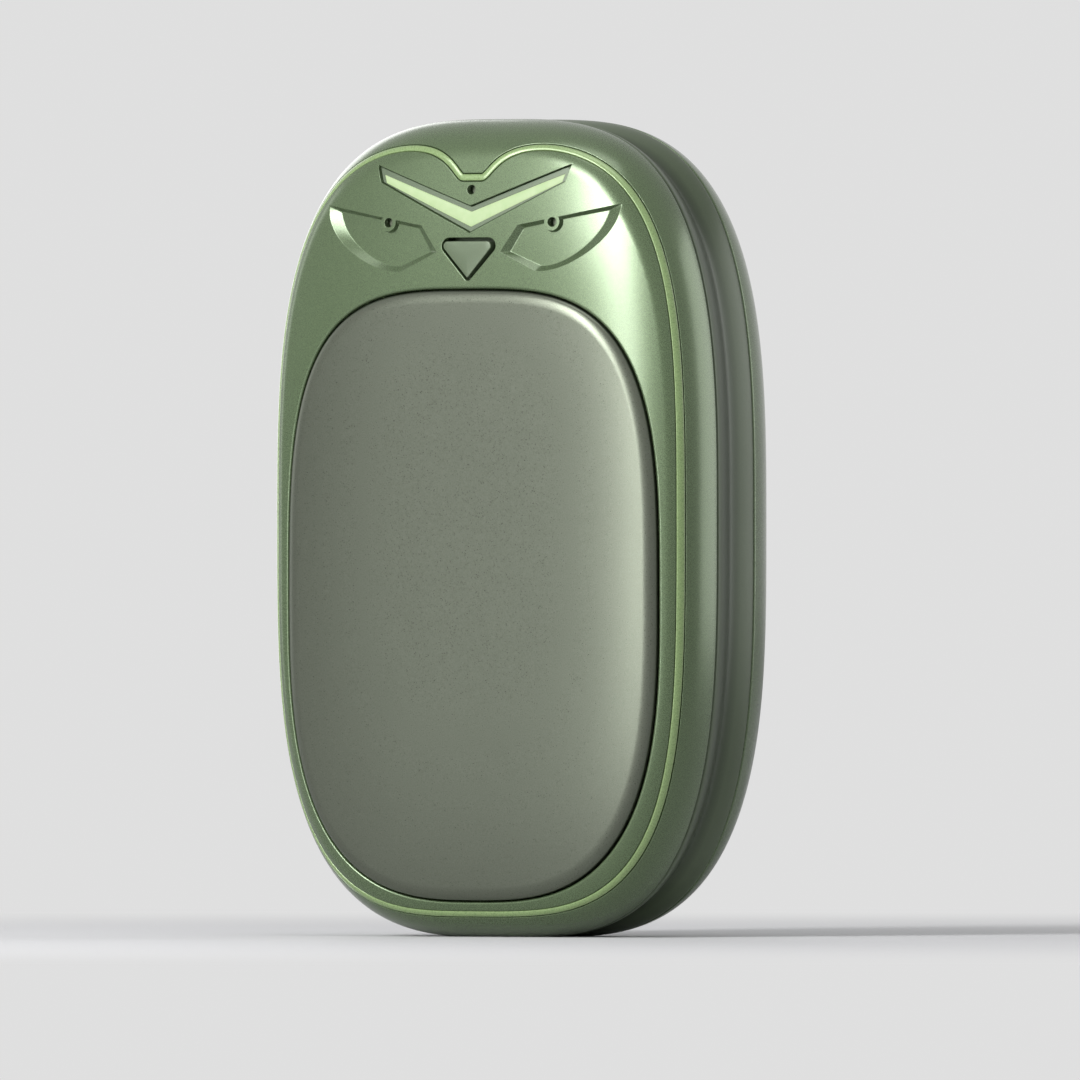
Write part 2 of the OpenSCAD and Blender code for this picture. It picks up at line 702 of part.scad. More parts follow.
// Ring round the battery, with an ear at each case screw, fingers behind the port's board and a notch
// for the leads
lead_x = 4.6;
lead_notch = 6;
module chassis() {
    corner = cell_corner + chassis_wall;
    finger_y = port_board_y + board_t + fit;
    color([0.85, 0.85, 0.82]) difference() {
        union() {
            difference() {
                prism(-chassis_d / 2, chassis_d / 2) translate([0, cell_z])
                    rounded_plate(chassis_w, chassis_h, corner);
                prism(-chassis_d / 2 - over, chassis_d / 2 + over) translate([0, cell_z])
                    rounded_plate(cell_w + 2 * chassis_gap, cell_h + 2 * chassis_gap, cell_corner);
            }
            for (p = screw_places) pin(p.x, p.y, post_r, -ear_t / 2, ear_t / 2);
            for (p = screw_places) let (far = cell_z + sign(p.y - cell_z) * (chassis_h - chassis_wall) / 2)
                box(p.x - post_r, p.x + post_r, -ear_t / 2, ear_t / 2, min(p.y, far), max(p.y, far));
            both_sides() box(port_board_w / 2 - finger_w, port_board_w / 2, finger_y, finger_y + finger_t,
                port_board_z + port_board_h / 3, cell_z - chassis_h / 2 + chassis_wall / 2);
        }
        for (p = screw_places) pin(p.x, p.y, screw_hole_r, -chassis_d, chassis_d);
        box(-lead_notch, lead_notch, 0, lead_notch, cell_top, cell_top + 2 * chassis_wall);
    }
}

module control_board() {
    color([0.1, 0.35, 0.2]) difference() {
        prism(board_y, board_back) translate([0, board_z]) rounded_plate(board_w, board_h, board_corner);
        both_sides() pin(board_screw_x, board_screw_z, small_screw_r + thread_gap + fit, -half_d, 0);
    }
}

// Lamps on the board, three behind the pinholes and four behind the light bar
led_w = 1.6;
led_t = 0.7;
module board_leds() {
    strip_z = bar_top - bar_border - strip_mid_h / 2;
    slope = strip_rise / strip_half;
    places = concat(pin_places, [for (share = [-0.7, -0.3, 0.3, 0.7])
        [share * strip_half, strip_z + abs(share) * slope * strip_half]]);
    color([0.95, 0.93, 0.8]) for (p = places)
        box(p.x - led_w / 2, p.x + led_w / 2, board_y - led_t, board_y, p.y - led_w / 2, p.y + led_w / 2);
}

// Rows of parts on the back of the board, in shares of its height from its top
chip_row_share = 0.28;
cap_row_share = 0.59;
ribbon_row_share = 0.69;
socket_row_share = 0.85;
function board_row(share) = board_top - share * board_h;
// Charger and controller, with a row of capacitors below them
chip_w = 4;
chip_t = 0.9;
cap_w = 1.2;
module board_part(x, z, w, t, h) {
    box(x - w / 2, x + w / 2, board_back, board_back + t, z - h / 2, z + h / 2);
}
module board_chips() {
    color([0.13, 0.13, 0.14]) {
        for (x = [-1, 1]) board_part(1.6 * x * chip_w, board_row(chip_row_share), chip_w, chip_t, chip_w);
        for (k = [-2 : 2]) board_part(2 * k * cap_w, board_row(cap_row_share), cap_w, cap_w, cap_w);
    }
}

coil_w = 6;
coil_t = 3;
module boost_inductor() {
    x = 0.75 * coil_w - board_w / 2;
    color([0.3, 0.3, 0.32]) prism(board_back, board_back + coil_t)
        translate([x, board_top - 0.75 * coil_w]) rounded_plate(coil_w, coil_w, coil_w / 5);
}

// Sockets on the board's back for the battery leads and for the port's ribbon
socket_t = 1.8;
socket_h = 2.2;
socket_z = board_row(socket_row_share) - socket_h / 2;
module board_connectors() {
    color([0.92, 0.9, 0.82])
        board_part(0, board_row(socket_row_share), 2 * (lead_x + cap_w), socket_t, socket_h);
}

// Bead on each film's inner side, beside the foam
sensor_r = 0.6;
module temperature_sensors() {
    z = cell_z - film_h / 2 + foam_margin / 2;
    y = skin_y(0, z) + film_front + film_t + 9 * fit;
    color([0.75, 0.3, 0.2]) {
        pin(0, z, sensor_r, y, y + sensor_r);
        mirror([0, 1, 0]) pin(0, z, sensor_r, y, y + sensor_r);
    }
}

module port_board() {
    color([0.1, 0.35, 0.2]) box(-port_board_w / 2, port_board_w / 2, port_board_y, port_board_y + board_t,
        port_board_z, port_board_z + port_board_h);
}

module usb_c_socket() {
    color([0.75, 0.76, 0.78]) translate([0, 0, middle_z + port_z]) difference() {
        linear_extrude(port_l) slot_shape(port_w, port_t);
        translate([0, 0, -over]) linear_extrude(port_l - tongue_back + over)
            slot_shape(port_w - 2 * port_shell_t, port_t - 2 * port_shell_t);
    }
}

module usb_c_tongue() {
    color([0.15, 0.15, 0.16]) box(-tongue_w / 2, tongue_w / 2, -tongue_t / 2, tongue_t / 2,
        port_z + port_shell_t, port_z + port_l - tongue_back);
}

// Flat ribbon from the port's board up the back of the battery to the control board
module port_ribbon() {
    start_y = port_board_y + board_t + fit;
    back_y = -cell_front + fit;
    clear = 1.2;
    low = cell_z - chassis_h / 2;
    high = cell_z + chassis_h / 2;
    end_z = board_row(ribbon_row_share);
    path = [[start_y, port_board_z + port_board_h - clear], [start_y, port_board_z + port_board_h],
        [back_y - clear, low - clear], [back_y, low + clear], [back_y, high - clear], [back_y - clear, high],
        [board_back + 2 * clear, end_z - clear / 2], [board_back + fit, end_z]];
    module side(p) {
        circle_r = ribbon_t / 2;
        translate([p.x + circle_r, p.y]) circle(circle_r, $fn = 16);
    }
    color([0.9, 0.6, 0.2]) translate([-ribbon_w / 2, 0, middle_z]) rotate([90, 0, 90])
        linear_extrude(ribbon_w) for (k = [0 : len(path) - 2]) hull() {
            side(path[k]);
            side(path[k + 1]);
        }
}

module case_screws() {
    color([0.6, 0.6, 0.62]) for (p = screw_places) {
        seat = ear_t / 2 + seat_t;
        pin(p.x, p.y, head_r, seat, seat + head_h);
        pin(p.x, p.y, screw_r, seat - screw_l, seat + fit);
    }
}

module board_screws() {
    color([0.6, 0.6, 0.62]) both_sides() {
        pin(board_screw_x, board_screw_z, small_head_r, board_back, board_back + small_head_h);
        pin(board_screw_x, board_screw_z, small_screw_r, board_back - small_screw_l, board_back + fit);
    }
}

// Round wire along points, each end square to its run
wire_sides = 8;
module wire(path, r) {
    last = len(path) - 1;
    function along(k) = let (d = path[min(k + 1, last)] - path[max(k - 1, 0)]) d / norm(d);
    function ring(k) = let (d = along(k), side = cross(d, [1, 0, 0]), u = side / norm(side), v = cross(u, d))
        [for (j = [0 : wire_sides - 1]) let (t = 360 * j / wire_sides)
            path[k] + r * (cos(t) * u + sin(t) * v) + [0, 0, middle_z]];
    ring_solid([for (k = [0 : last]) ring(k)], [path[0] + [0, 0, middle_z], path[last] + [0, 0, middle_z]]);
}

lead_r = 0.6;
module battery_lead(side) {
    x = side * lead_x;
    y = lead_notch / 2;
    wire([[x, y, cell_top + fit], [x, y, cell_top + 3 * chassis_wall], [x, y - lead_r, socket_z - 3 * lead_r],
        [x, board_back + 2 * socket_t, socket_z],
        [x, board_back + socket_t + lead_r, socket_z + socket_h / 2],
        [x, board_back + socket_t + fit, socket_z + socket_h / 2]], lead_r);
}

module positive_lead() {
    color([0.8, 0.1, 0.1]) battery_lead(1);
}

module negative_lead() {
    color([0.1, 0.1, 0.1]) battery_lead(-1);
}

thin_r = 0.35;
heater_x = 7.4;
module heater_leads() {
    film_top = cell_z + film_h / 2;
    inside = film_front + film_t + 4 * fit + thin_r;
    board_low = board_top - board_h;
    y = skin_y(heater_x, film_top) + inside;
    ledge_y = skin_y(heater_x, board_low) + face_wall + 3 * thin_r;
    color([0.85, 0.82, 0.75]) both_sides() {
        wire([[heater_x, y, film_top - foam_margin / 2], [heater_x, y, film_top - 1.2 * thin_r],
            [heater_x, ledge_y, film_top + 4 * thin_r], [heater_x, ledge_y, board_low - 4 * thin_r],
            [heater_x, board_y - thin_r - 2 * fit, board_low + 2 * thin_r],
            [heater_x, board_y - thin_r - 2 * fit, board_low + 6 * thin_r]], thin_r);
        wire([[heater_x, -y, film_top - foam_margin / 2], [heater_x, -y, film_top - 1.2 * thin_r],
            [heater_x, -ledge_y, film_top + 4 * thin_r], [heater_x, -ledge_y, board_low - 4 * thin_r],
            [heater_x, board_back + thin_r + 2 * fit, board_low + 2 * thin_r],
            [heater_x, board_back + thin_r + 2 * fit, board_low + 6 * thin_r]], thin_r);
    }
}

front_shell();
mid_frame();
back_shell();
trim_ring();
light_bar_bezel();
light_bar();
indicator_light_pipes();
power_button();
tact_switch();
switch_plunger();
front_heat_plate();
back_heat_plate();
front_plate_seal();
back_plate_seal();
front_heater_film();
back_heater_film();
front_foam_pad();
back_foam_pad();
front_battery_cell();
back_battery_cell();
cell_divider();
chassis();
control_board();
board_leds();
board_chips();
boost_inductor();
board_connectors();
temperature_sensors();
port_board();
usb_c_socket();
usb_c_tongue();
port_ribbon();
case_screws();
board_screws();
positive_lead();
negative_lead();
heater_leads();
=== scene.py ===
import json

import bmesh
import bpy
import numpy as np
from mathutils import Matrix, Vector
from mathutils.geometry import delaunay_2d_cdt


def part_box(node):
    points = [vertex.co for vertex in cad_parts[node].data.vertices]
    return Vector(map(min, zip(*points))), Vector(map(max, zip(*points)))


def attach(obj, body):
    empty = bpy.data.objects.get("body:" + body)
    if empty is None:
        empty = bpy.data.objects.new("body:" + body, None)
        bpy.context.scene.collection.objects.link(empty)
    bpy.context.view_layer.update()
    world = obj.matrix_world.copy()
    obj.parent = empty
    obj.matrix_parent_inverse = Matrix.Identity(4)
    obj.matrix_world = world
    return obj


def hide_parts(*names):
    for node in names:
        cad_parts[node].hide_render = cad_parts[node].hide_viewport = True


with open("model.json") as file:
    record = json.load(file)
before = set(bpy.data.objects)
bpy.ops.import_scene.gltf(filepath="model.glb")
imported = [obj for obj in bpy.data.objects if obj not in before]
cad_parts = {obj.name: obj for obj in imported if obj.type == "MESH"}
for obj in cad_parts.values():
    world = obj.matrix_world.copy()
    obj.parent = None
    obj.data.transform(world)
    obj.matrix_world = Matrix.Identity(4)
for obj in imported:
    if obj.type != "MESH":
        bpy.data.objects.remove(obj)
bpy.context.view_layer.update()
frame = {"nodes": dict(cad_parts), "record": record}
mm = 0.001

# The skin of the body. Lengths are in millimetres, heights are measured from the body's middle, the front is -Y
body = {
    "halfWidth": 31.76,
    "halfHeight": 52.6,
    "middle": 52.4,      # height of the middle above the floor
    "foot": -52.4,       # the bottom is flat from here on
    "power": 3.16,       # exponent of the outline
    "tall": 1.57,        # how much faster the outline draws in along its height
    "seam": 4.75,        # from the middle plane to each seam
    "front": 14.1,       # from the middle plane to the top of the crown
    "crown": 3.2,
    "crownPower": 4.7,
    "shoulder": 3.4,     # inset at which the rounded side meets the crown
}
halfWidth, halfHeight = body["halfWidth"], body["halfHeight"]
power, tall, shoulder = body["power"], body["tall"], body["shoulder"]
flank = body["front"] - body["seam"] - body["crown"]

# How finely the shapes are worked out
fine = {
    "halvings": 46,                      # steps that find an inset
    "slack": 1e-3,                       # mm, for comparisons
    "least": 1e-9,                       # keeps a division finite
    "block": 2000,                       # points tested at a time
    "row": 0.866, "clear": 0.55,         # a net's row height and room beside loops, as shares of its spacing
    "rowPhase": 3, "columnPhase": 7,     # where a net starts: its spacing divided by these
    "tie": 1e-8,                         # nearness at which the triangulation joins points
    "merge": 2e-6, "collapse": 1e-7,     # metres
    "sharp": 38,                         # degrees between faces whose edge stays crisp
    "corner": 4, "edge": 5,              # rows of a small rounded corner, and of a wider one
}


def level(q):
    # Distance of the skin in front of the middle plane at the inset q:
    # seam + flank * sqrt(1 - (1 - q/shoulder)^2) + crown * (1 - (1 - q/halfWidth)^crownPower)
    near = np.clip(1 - q / shoulder, 0, 1)
    return (body["seam"] + flank * np.sqrt(1 - near ** 2)
            + body["crown"] * (1 - (1 - q / halfWidth) ** body["crownPower"]))


def insetAt(x, z):
    # Inset q whose drawn-in outline |x/(w-q)|^n + |z/(h-kq)|^n = 1 runs through a place, found by halving
    low, high = np.zeros_like(x), np.full_like(x, halfWidth - fine["slack"])
    for _ in range(fine["halvings"]):
        q = (low + high) / 2
        within = (np.abs(x) / (halfWidth - q)) ** power + (np.abs(z) / (halfHeight - tall * q)) ** power < 1
        low, high = np.where(within, q, low), np.where(within, high, q)
    return (low + high) / 2


def unitPoint(t, n):
    # Point of the superellipse |x|^n + |z|^n = 1 in the direction t
    c, s = np.cos(t), np.sin(t)
    return np.stack([c, s], -1) * ((np.abs(c) ** n + np.abs(s) ** n) ** (-1 / n))[..., None]


def ringAt(q, t):
    # Place in the front view of the outline drawn in by q, in the direction t
    q = np.broadcast_to(q, t.shape)
    return unitPoint(t, power) * np.stack([halfWidth - q, halfHeight - tall * q], -1)


def directionOf(flat, q):
    return np.arctan2(flat[..., 1] / (halfHeight - tall * q), flat[..., 0] / (halfWidth - q))


def inSpace(flat, y):
    # Places of the front view, set at a distance Y
    return np.stack([flat[..., 0], np.broadcast_to(y, flat.shape[:-1]), flat[..., 1]], -1)


def onSkin(flat, depth=0.0):
    # Lifts places of the front view onto the front skin, or to a depth behind it along Y
    return inSpace(flat, -level(insetAt(flat[..., 0], flat[..., 1])) + depth)


def skinNormals(flat):
    # Outward normal of the front skin, from the gradient of the inset:
    # (-level'(q) * dq/dx, -1, -level'(q) * dq/dz)
    x, z = flat[..., 0], flat[..., 1]
    q = insetAt(x, z)
    a, b = halfWidth - q, halfHeight - tall * q
    gx, gz = np.abs(x / a) ** (power - 1) * np.sign(x) / a, np.abs(z / b) ** (power - 1) * np.sign(z) / b
    gq = np.maximum(np.abs(x / a) ** power / a + tall * np.abs(z / b) ** power / b, fine["least"])
    near = np.clip(1 - q / shoulder, 0, 1)
    root = np.sqrt(1 - near ** 2)
    rise = flank * near / shoulder + root * body["crown"] * body["crownPower"] / halfWidth * (
        1 - q / halfWidth) ** (body["crownPower"] - 1)
    n = np.stack([rise * gx / gq, -root, rise * gz / gq], -1)
    return n / np.linalg.norm(n, axis=-1, keepdims=True)


def turns(count):
    return np.linspace(0, 2 * np.pi, count, endpoint=False)


def rays(t):
    return np.stack([np.cos(t), np.sin(t)], -1)


def edgeVectors(loop):
    return np.roll(loop, -1, 0) - loop


def sideways(d):
    # Unit vectors to the right of the given ones: outward along an anticlockwise loop
    d = d / np.linalg.norm(d, axis=1, keepdims=True)
    return np.stack([d[:, 1], -d[:, 0]], -1)


def grown(loop, distance):
    # Moves every edge of an anticlockwise loop outward by a distance, with mitred corners
    n = sideways(edgeVectors(loop))
    before = np.roll(n, 1, 0)
    return loop + distance * (n + before) / (1 + np.sum(n * before, 1, keepdims=True))


def divided(corners, counts):
    # Divides each edge of a polygon into its own number of equal parts
    ends = np.roll(corners, -1, 0)
    return np.concatenate([a + (b - a) * (np.arange(n) / n)[:, None] for a, b, n in zip(corners, ends, counts)])


def edgeCounts(corners, step):
    return np.maximum(np.ceil(np.linalg.norm(edgeVectors(corners), axis=1) / step), 1).astype(int)


def respaced(loop, count, weight=1.0):
    # Points spread evenly along a closed line, by its length times a weight
    run = np.concatenate([[0], np.cumsum(np.linalg.norm(edgeVectors(loop), axis=1) * weight)])
    at = np.interp(np.linspace(0, run[-1], count + 1)[:-1], run, np.arange(len(run)))
    loop = np.concatenate([loop, loop[:1]])
    return np.stack([np.interp(at, np.arange(len(loop)), loop[:, k]) for k in (0, 1)], -1)


def circle(place, radius, count=36):
    return np.array(place) + radius * rays(turns(count))


def isInside(points, loops):
    # Even-odd rule over all loops at once, in blocks of points
    a = np.concatenate(loops)
    b = np.concatenate([np.roll(loop, -1, 0) for loop in loops])
    slope = (b[:, 0] - a[:, 0]) / np.where(b[:, 1] == a[:, 1], 1, b[:, 1] - a[:, 1])
    found = []
    for block in np.array_split(points, max(1, len(points) // fine["block"])):
        z = block[:, 1:2]
        spans = (a[:, 1] > z) != (b[:, 1] > z)
        found.append(np.sum(spans & (block[:, :1] < a[:, 0] + slope * (z - a[:, 1])), 1) % 2 == 1)
    return np.concatenate(found)


def clearOf(points, loops, distance):
    # Points that keep a distance from every point of the loops
    a = np.concatenate(loops)
    found = []
    for block in np.array_split(points, max(1, len(points) // fine["block"])):
        gaps = np.min(np.sum((block[:, None, :] - a[None, :, :]) ** 2, 2), 1)
        found.append(gaps > distance ** 2)
    return np.concatenate(found)


def quarterRound(radius, steps, drop=None):
    # Rows (distance in from the edge, depth) of a quarter circle, or of a quarter ellipse with its own drop:
    # radius * (1 - sin a), drop * (1 - cos a)
    drop = radius if drop is None else drop
    return [(radius * (1 - np.sin(a)), drop * (1 - np.cos(a))) for a in np.linspace(0, np.pi / 2, steps)]


def roundEdge(radius, depth, guard, steps=fine["corner"]):
    # Section of a pocket's edge as rows (distance into the pocket, depth): land, quarter round, wall
    return [(-radius - guard, 0)] + [(-a, h) for a, h in quarterRound(radius, steps)] + [(0, depth)]


def wellRows(loop, rows):
    # A pocket's section carried along its outline: each row is moved into the pocket and down from the skin
    return [onSkin(grown(loop, -a), h) for a, h in rows]


def footed(points):
    # The body stands on a flat: nothing reaches below it
    points = points.copy()
    points[..., 2] = np.maximum(points[..., 2], body["foot"])
    return points


def mirrored(points, side):
    return points * [1, side, 1]


def gridFaces(rows, count, closed=True):
    # Quads between neighbouring rows of count points each
    i, j = np.meshgrid(np.arange(rows - 1), np.arange(count if closed else count - 1), indexing="ij")
    k = (j + 1) % count
    quads = [i * count + j, i * count + k, (i + 1) * count + k, (i + 1) * count + j]
    return np.stack(quads, -1).reshape(-1, 4)


class Surface:
    # Collects rings and triangulated sheets, and joins them into one closed mesh
    def __init__(self):
        self.points, self.corners, self.sizes, self.count = [], [], [], 0

    def add(self, points, faces):
        self.points.append(points)
        self.corners.append((faces + self.count).ravel())
        self.sizes.append(np.full(len(faces), faces.shape[1]))
        self.count += len(points)

    def rings(self, rings, closed=True):
        self.add(np.concatenate(rings), gridFaces(len(rings), len(rings[0]), closed))

    def sheet(self, loops, spacing, lift):
        # Area inside the first loop and outside the others: a hexagonal net of points and the loops, joined by
        # Delaunay's rule and then lifted into space. The loops are made as exact as a Vector, so that all the
        # tests agree
        loops = [loop.astype(np.float32).astype(float) for loop in loops]
        low, high = loops[0].min(0), loops[0].max(0)
        rows = np.arange(low[1] + spacing / fine["rowPhase"], high[1], spacing * fine["row"])
        columns = np.arange(low[0] + spacing / fine["columnPhase"], high[0], spacing)
        shifts = (np.arange(len(rows)) % 2)[:, None] * spacing / 2
        net = np.stack([(columns[None, :] + shifts).ravel(), np.repeat(rows, len(columns))], -1)
        net = net[isInside(net, loops)]
        net = net[clearOf(net, loops, spacing * fine["clear"])]
        flat = np.concatenate(loops + [net])
        starts = np.cumsum([0] + [len(loop) for loop in loops])
        edges = [(a + k, a + (k + 1) % (b - a)) for a, b in zip(starts[:-1], starts[1:]) for k in range(b - a)]
        found = delaunay_2d_cdt([Vector(p) for p in flat], edges, [], 0, fine["tie"])
        places, faces = np.array([tuple(p) for p in found[0]]), np.array(found[2])
        self.add(lift(places), faces[isInside(places[faces].mean(1), loops)])

    def build(self, node, slot, rides="case", normals=None):
        # The finer piece that takes a CAD node's place
        points, corners, sizes = (np.concatenate(parts) for parts in (self.points, self.corners, self.sizes))
        lift = [0, 0, body["middle"]]
        name = node + "_body"
        mesh = bpy.data.meshes.new(name)
        mesh.vertices.add(len(points))
        mesh.vertices.foreach_set("co", ((points + lift) * mm).ravel())
        mesh.loops.add(len(corners))
        mesh.loops.foreach_set("vertex_index", corners)
        mesh.polygons.add(len(sizes))
        mesh.polygons.foreach_set("loop_start", np.concatenate([[0], np.cumsum(sizes)[:-1]]))
        mesh.update(calc_edges=True)
        work = bmesh.new()
        work.from_mesh(mesh)
        bmesh.ops.remove_doubles(work, verts=work.verts, dist=fine["merge"])
        bmesh.ops.dissolve_degenerate(work, edges=work.edges, dist=fine["collapse"])
        bmesh.ops.recalc_face_normals(work, faces=work.faces)
        openEdges = sum(1 for e in work.edges if len(e.link_faces) != 2)
        work.to_mesh(mesh)
        work.free()
        mesh.shade_smooth()
        mesh.set_sharp_from_angle(angle=np.radians(fine["sharp"]))
        if normals:
            co = np.empty(len(mesh.vertices) * 3)
            mesh.vertices.foreach_get("co", co)
            mesh.normals_split_custom_set_from_vertices(normals(co.reshape(-1, 3) / mm - lift))
        mesh.materials.append(slotFinishes[slot])
        piece = bpy.data.objects.new(name, mesh)
        bpy.context.scene.collection.objects.link(piece)
        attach(piece, rides)
        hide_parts(node)
        triangles = sum(len(p.vertices) - 2 for p in mesh.polygons)
        print(f"{name}: {triangles} triangles, {openEdges} open edges")


def skinShading(side=1, proud=0.0, ease=0.0):
    # Exact normals for the points that lie on the skin, or on a plate above it; the others keep their own.
    # A plate's crown is flatter by the share ease, and so are its normals' X and Z
    def normals(co):
        given = np.zeros_like(co)
        flat = co[:, [0, 2]]
        outer = side * co[:, 1] < -body["seam"]
        q = np.ones(len(co))
        q[outer] = insetAt(flat[outer, 0], flat[outer, 1])
        y = level(q)
        y = y + proud + ease * (body["front"] - y)
        on = outer & (np.abs(-side * co[:, 1] - y) < fine["slack"]) & (co[:, 2] > body["foot"] + fine["slack"])
        n = skinNormals(flat[on]) * [1 - ease, side, 1 - ease]
        given[on] = n / np.linalg.norm(n, axis=1, keepdims=True)
        return given
    return normals


# Shader maths as Python expressions: a socket, or a number, that adds its Math nodes as it is used
class Shade:
    def __init__(self, tree, socket):
        self.tree, self.socket = tree, socket

    def maths(self, operation, a, b):
        return self.tree.node("ShaderNodeMath", {"operation": operation}, [a, b])

    def __add__(self, other):
        return self.maths("ADD", self, other)

    def __radd__(self, other):
        return self.maths("ADD", other, self)

    def __sub__(self, other):
        return self.maths("SUBTRACT", self, other)

    def __rsub__(self, other):
        return self.maths("SUBTRACT", other, self)

    def __mul__(self, other):
        return self.maths("MULTIPLY", self, other)

    def __rmul__(self, other):
        return self.maths("MULTIPLY", other, self)

    def __truediv__(self, other):
        return self.maths("DIVIDE", self, other)


def tone(red, green, blue):
    # A colour as it shows on screen, 0 to 255, made linear by the screen's own curve
    c = np.array([red, green, blue]) / 255
    return tuple(np.where(c <= 0.04045, c / 12.92, ((c + 0.055) / 1.055) ** 2.4)) + (1.0,)


class Nodes:
    # The nodes of one tree
    def __init__(self, tree):
        self.tree = tree
        tree.nodes.clear()

    def fill(self, socket, value):
        if isinstance(value, Shade):
            self.tree.links.new(value.socket, socket)
        else:
            socket.default_value = value

    def node(self, kind, settings=None, values=None, out=0):
        # Any node: its type, its settings, then the values or links of its sockets, by place or by name
        made = self.tree.nodes.new(kind)
        for key, value in (settings or {}).items():
            setattr(made, key, value)
        for key, value in values.items() if isinstance(values, dict) else enumerate(values or []):
            self.fill(made.inputs[key], value)
        return Shade(self, made.outputs[out]) if made.outputs else made

    def ray(self, kind):
        return self.node("ShaderNodeLightPath", out=kind)


class Finish(Nodes):
    # A material with one main shader
    def __init__(self, name, **values):
        self.material = bpy.data.materials.new(name)
        self.material.use_nodes = True
        super().__init__(self.material.node_tree)
        self.where = self.node("ShaderNodeTexCoord", out="Object")
        self.shader = self.node("ShaderNodeBsdfPrincipled")
        self.set(**values)

    def set(self, **values):
        # Sockets of the main shader by name, written with _ for a space
        for key, value in values.items():
            self.fill(self.shader.socket.node.inputs[key.replace("_", " ")], value)

    def stretched(self, x, y, z):
        return self.node("ShaderNodeMapping", {}, {"Vector": self.where, "Scale": (x, y, z)})

    def noise(self, grain, detail=2.0, roughness=0.5, place=None):
        # Noise whose lumps are about grain millimetres across, from 0 to 1
        return self.node("ShaderNodeTexNoise", {}, {"Vector": place or self.where, "Scale": 1 / (grain * mm),
                                                    "Detail": detail, "Roughness": roughness})

    def blend(self, factor, a, b):
        return self.node("ShaderNodeMix", {"data_type": "RGBA"}, {0: factor, 6: a, 7: b}, 2)

    def range(self, value, low, high, to=(0.0, 1.0)):
        return self.node("ShaderNodeMapRange", {}, [value, low, high, *to])

    def bump(self, height, depth, strength=0.5):
        # Relief whose height of 0 to 1 stands for a depth in millimetres
        values = {"Height": height, "Distance": depth * mm, "Strength": strength}
        self.set(Normal=self.node("ShaderNodeBump", {}, values))

    def done(self, surface=None):
        self.node("ShaderNodeOutputMaterial", {}, [surface or self.shader])
        return self.material


print("materials")
# Satin paints: two tones of a grain in millimetres, a gloss and a relief. The waist has painted shade: its
# colour darkens along a line just in front of its middle, in its hollow
paints = {
    "shell_green": {"dark": tone(80, 98, 67), "light": tone(90, 108, 76), "grain": 0.11, "roughness": 0.27,
                    "metal": 0.45, "coat": 0.5, "relief": 0.006},
    # The waist's hollow tone, reach and middle are painted shade, darkest along a line in its hollow
    "waist_green": {"dark": tone(70, 83, 60), "light": tone(78, 91, 68), "grain": 0.14, "roughness": 0.34,
                    "metal": 0.15, "hollow": tone(42, 54, 34), "reach": 3.0, "middle": -1.1},
    "trim_green": {"dark": tone(126, 150, 98), "light": tone(133, 157, 105), "grain": 0.2, "roughness": 0.28,
                   "metal": 0.15, "coat": 0.4, "relief": 0.002},
    "bezel_green": {"dark": tone(84, 98, 75), "light": tone(92, 106, 83), "grain": 0.12, "roughness": 0.4,
                    "metal": 0.15},
    "button_green": {"dark": tone(86, 100, 76), "light": tone(96, 110, 86), "grain": 0.12, "roughness": 0.36,
                     "metal": 0.18},
    "plate_paint": {"dark": tone(90, 95, 83), "light": tone(102, 107, 95), "grain": 0.16, "roughness": 0.31,
                    "metal": 0.75, "relief": 0.008},
}
# What they share: the grain's own roughness, the clouds' size and their share of the tint, the parts of the
# noise that the tint and the gloss follow, and how far the gloss strays
paintRules = {"rough": 0.6, "cloud": 14, "cloudShare": 0.1, "tint": (0.3, 0.7), "gloss": (0.25, 0.75),
              "stray": (-0.05, 0.06), "coatRough": 0.2, "relief": 0.004}


def paint(name, p):
    rules = paintRules
    f = Finish(name, Metallic=p["metal"], Coat_Weight=p.get("coat", 0.0), Coat_Roughness=rules["coatRough"])
    grain, cloud = f.noise(p["grain"], roughness=rules["rough"]), f.noise(rules["cloud"])
    share = rules["cloudShare"]
    tint = f.range(grain, *rules["tint"]) * (1 - share) + f.range(cloud, *rules["tint"]) * share
    colour = f.blend(tint, p["dark"], p["light"])
    # Painted shade: the colour turns to the dark hollow tone towards a line across the waist, just in front of
    # its middle
    if "hollow" in p:
        y = (f.node("ShaderNodeSeparateXYZ", {}, [f.where], "Y") - p["middle"] * mm) / (p["reach"] * mm)
        colour = f.blend(1 - y * y, colour, p["hollow"])
    gloss = [p["roughness"] + stray for stray in rules["stray"]]
    f.set(Base_Color=colour, Roughness=f.range(grain, *rules["gloss"], gloss))
    f.bump(grain, p.get("relief", rules["relief"]))
    return f.done()


# The lit strip: a milky diffuser that glows a little unevenly
glow = {"strength": 0.66, "grain": 1.6, "roughness": 0.5, "dark": tone(60, 72, 50), "light": tone(76, 90, 64),
        "dimmer": tone(216, 247, 180), "brighter": tone(230, 253, 196), "spread": (0.3, 0.7)}


def litStrip():
    f = Finish("lit_strip", Roughness=glow["roughness"], Emission_Strength=glow["strength"])
    cloud = f.noise(glow["grain"])
    f.set(Base_Color=f.blend(cloud, glow["dark"], glow["light"]),
          Emission_Color=f.blend(f.range(cloud, *glow["spread"]), glow["dimmer"], glow["brighter"]))
    return f.done()


# What the finishes of the inner pieces share, in the same words
plainRules = {"detail": 3.0, "rough": 0.6, "cloud": 6, "cloudShare": 0.3, "tint": (0.3, 0.7),
              "gloss": (0.2, 0.8), "stray": (-0.06, 0.08)}


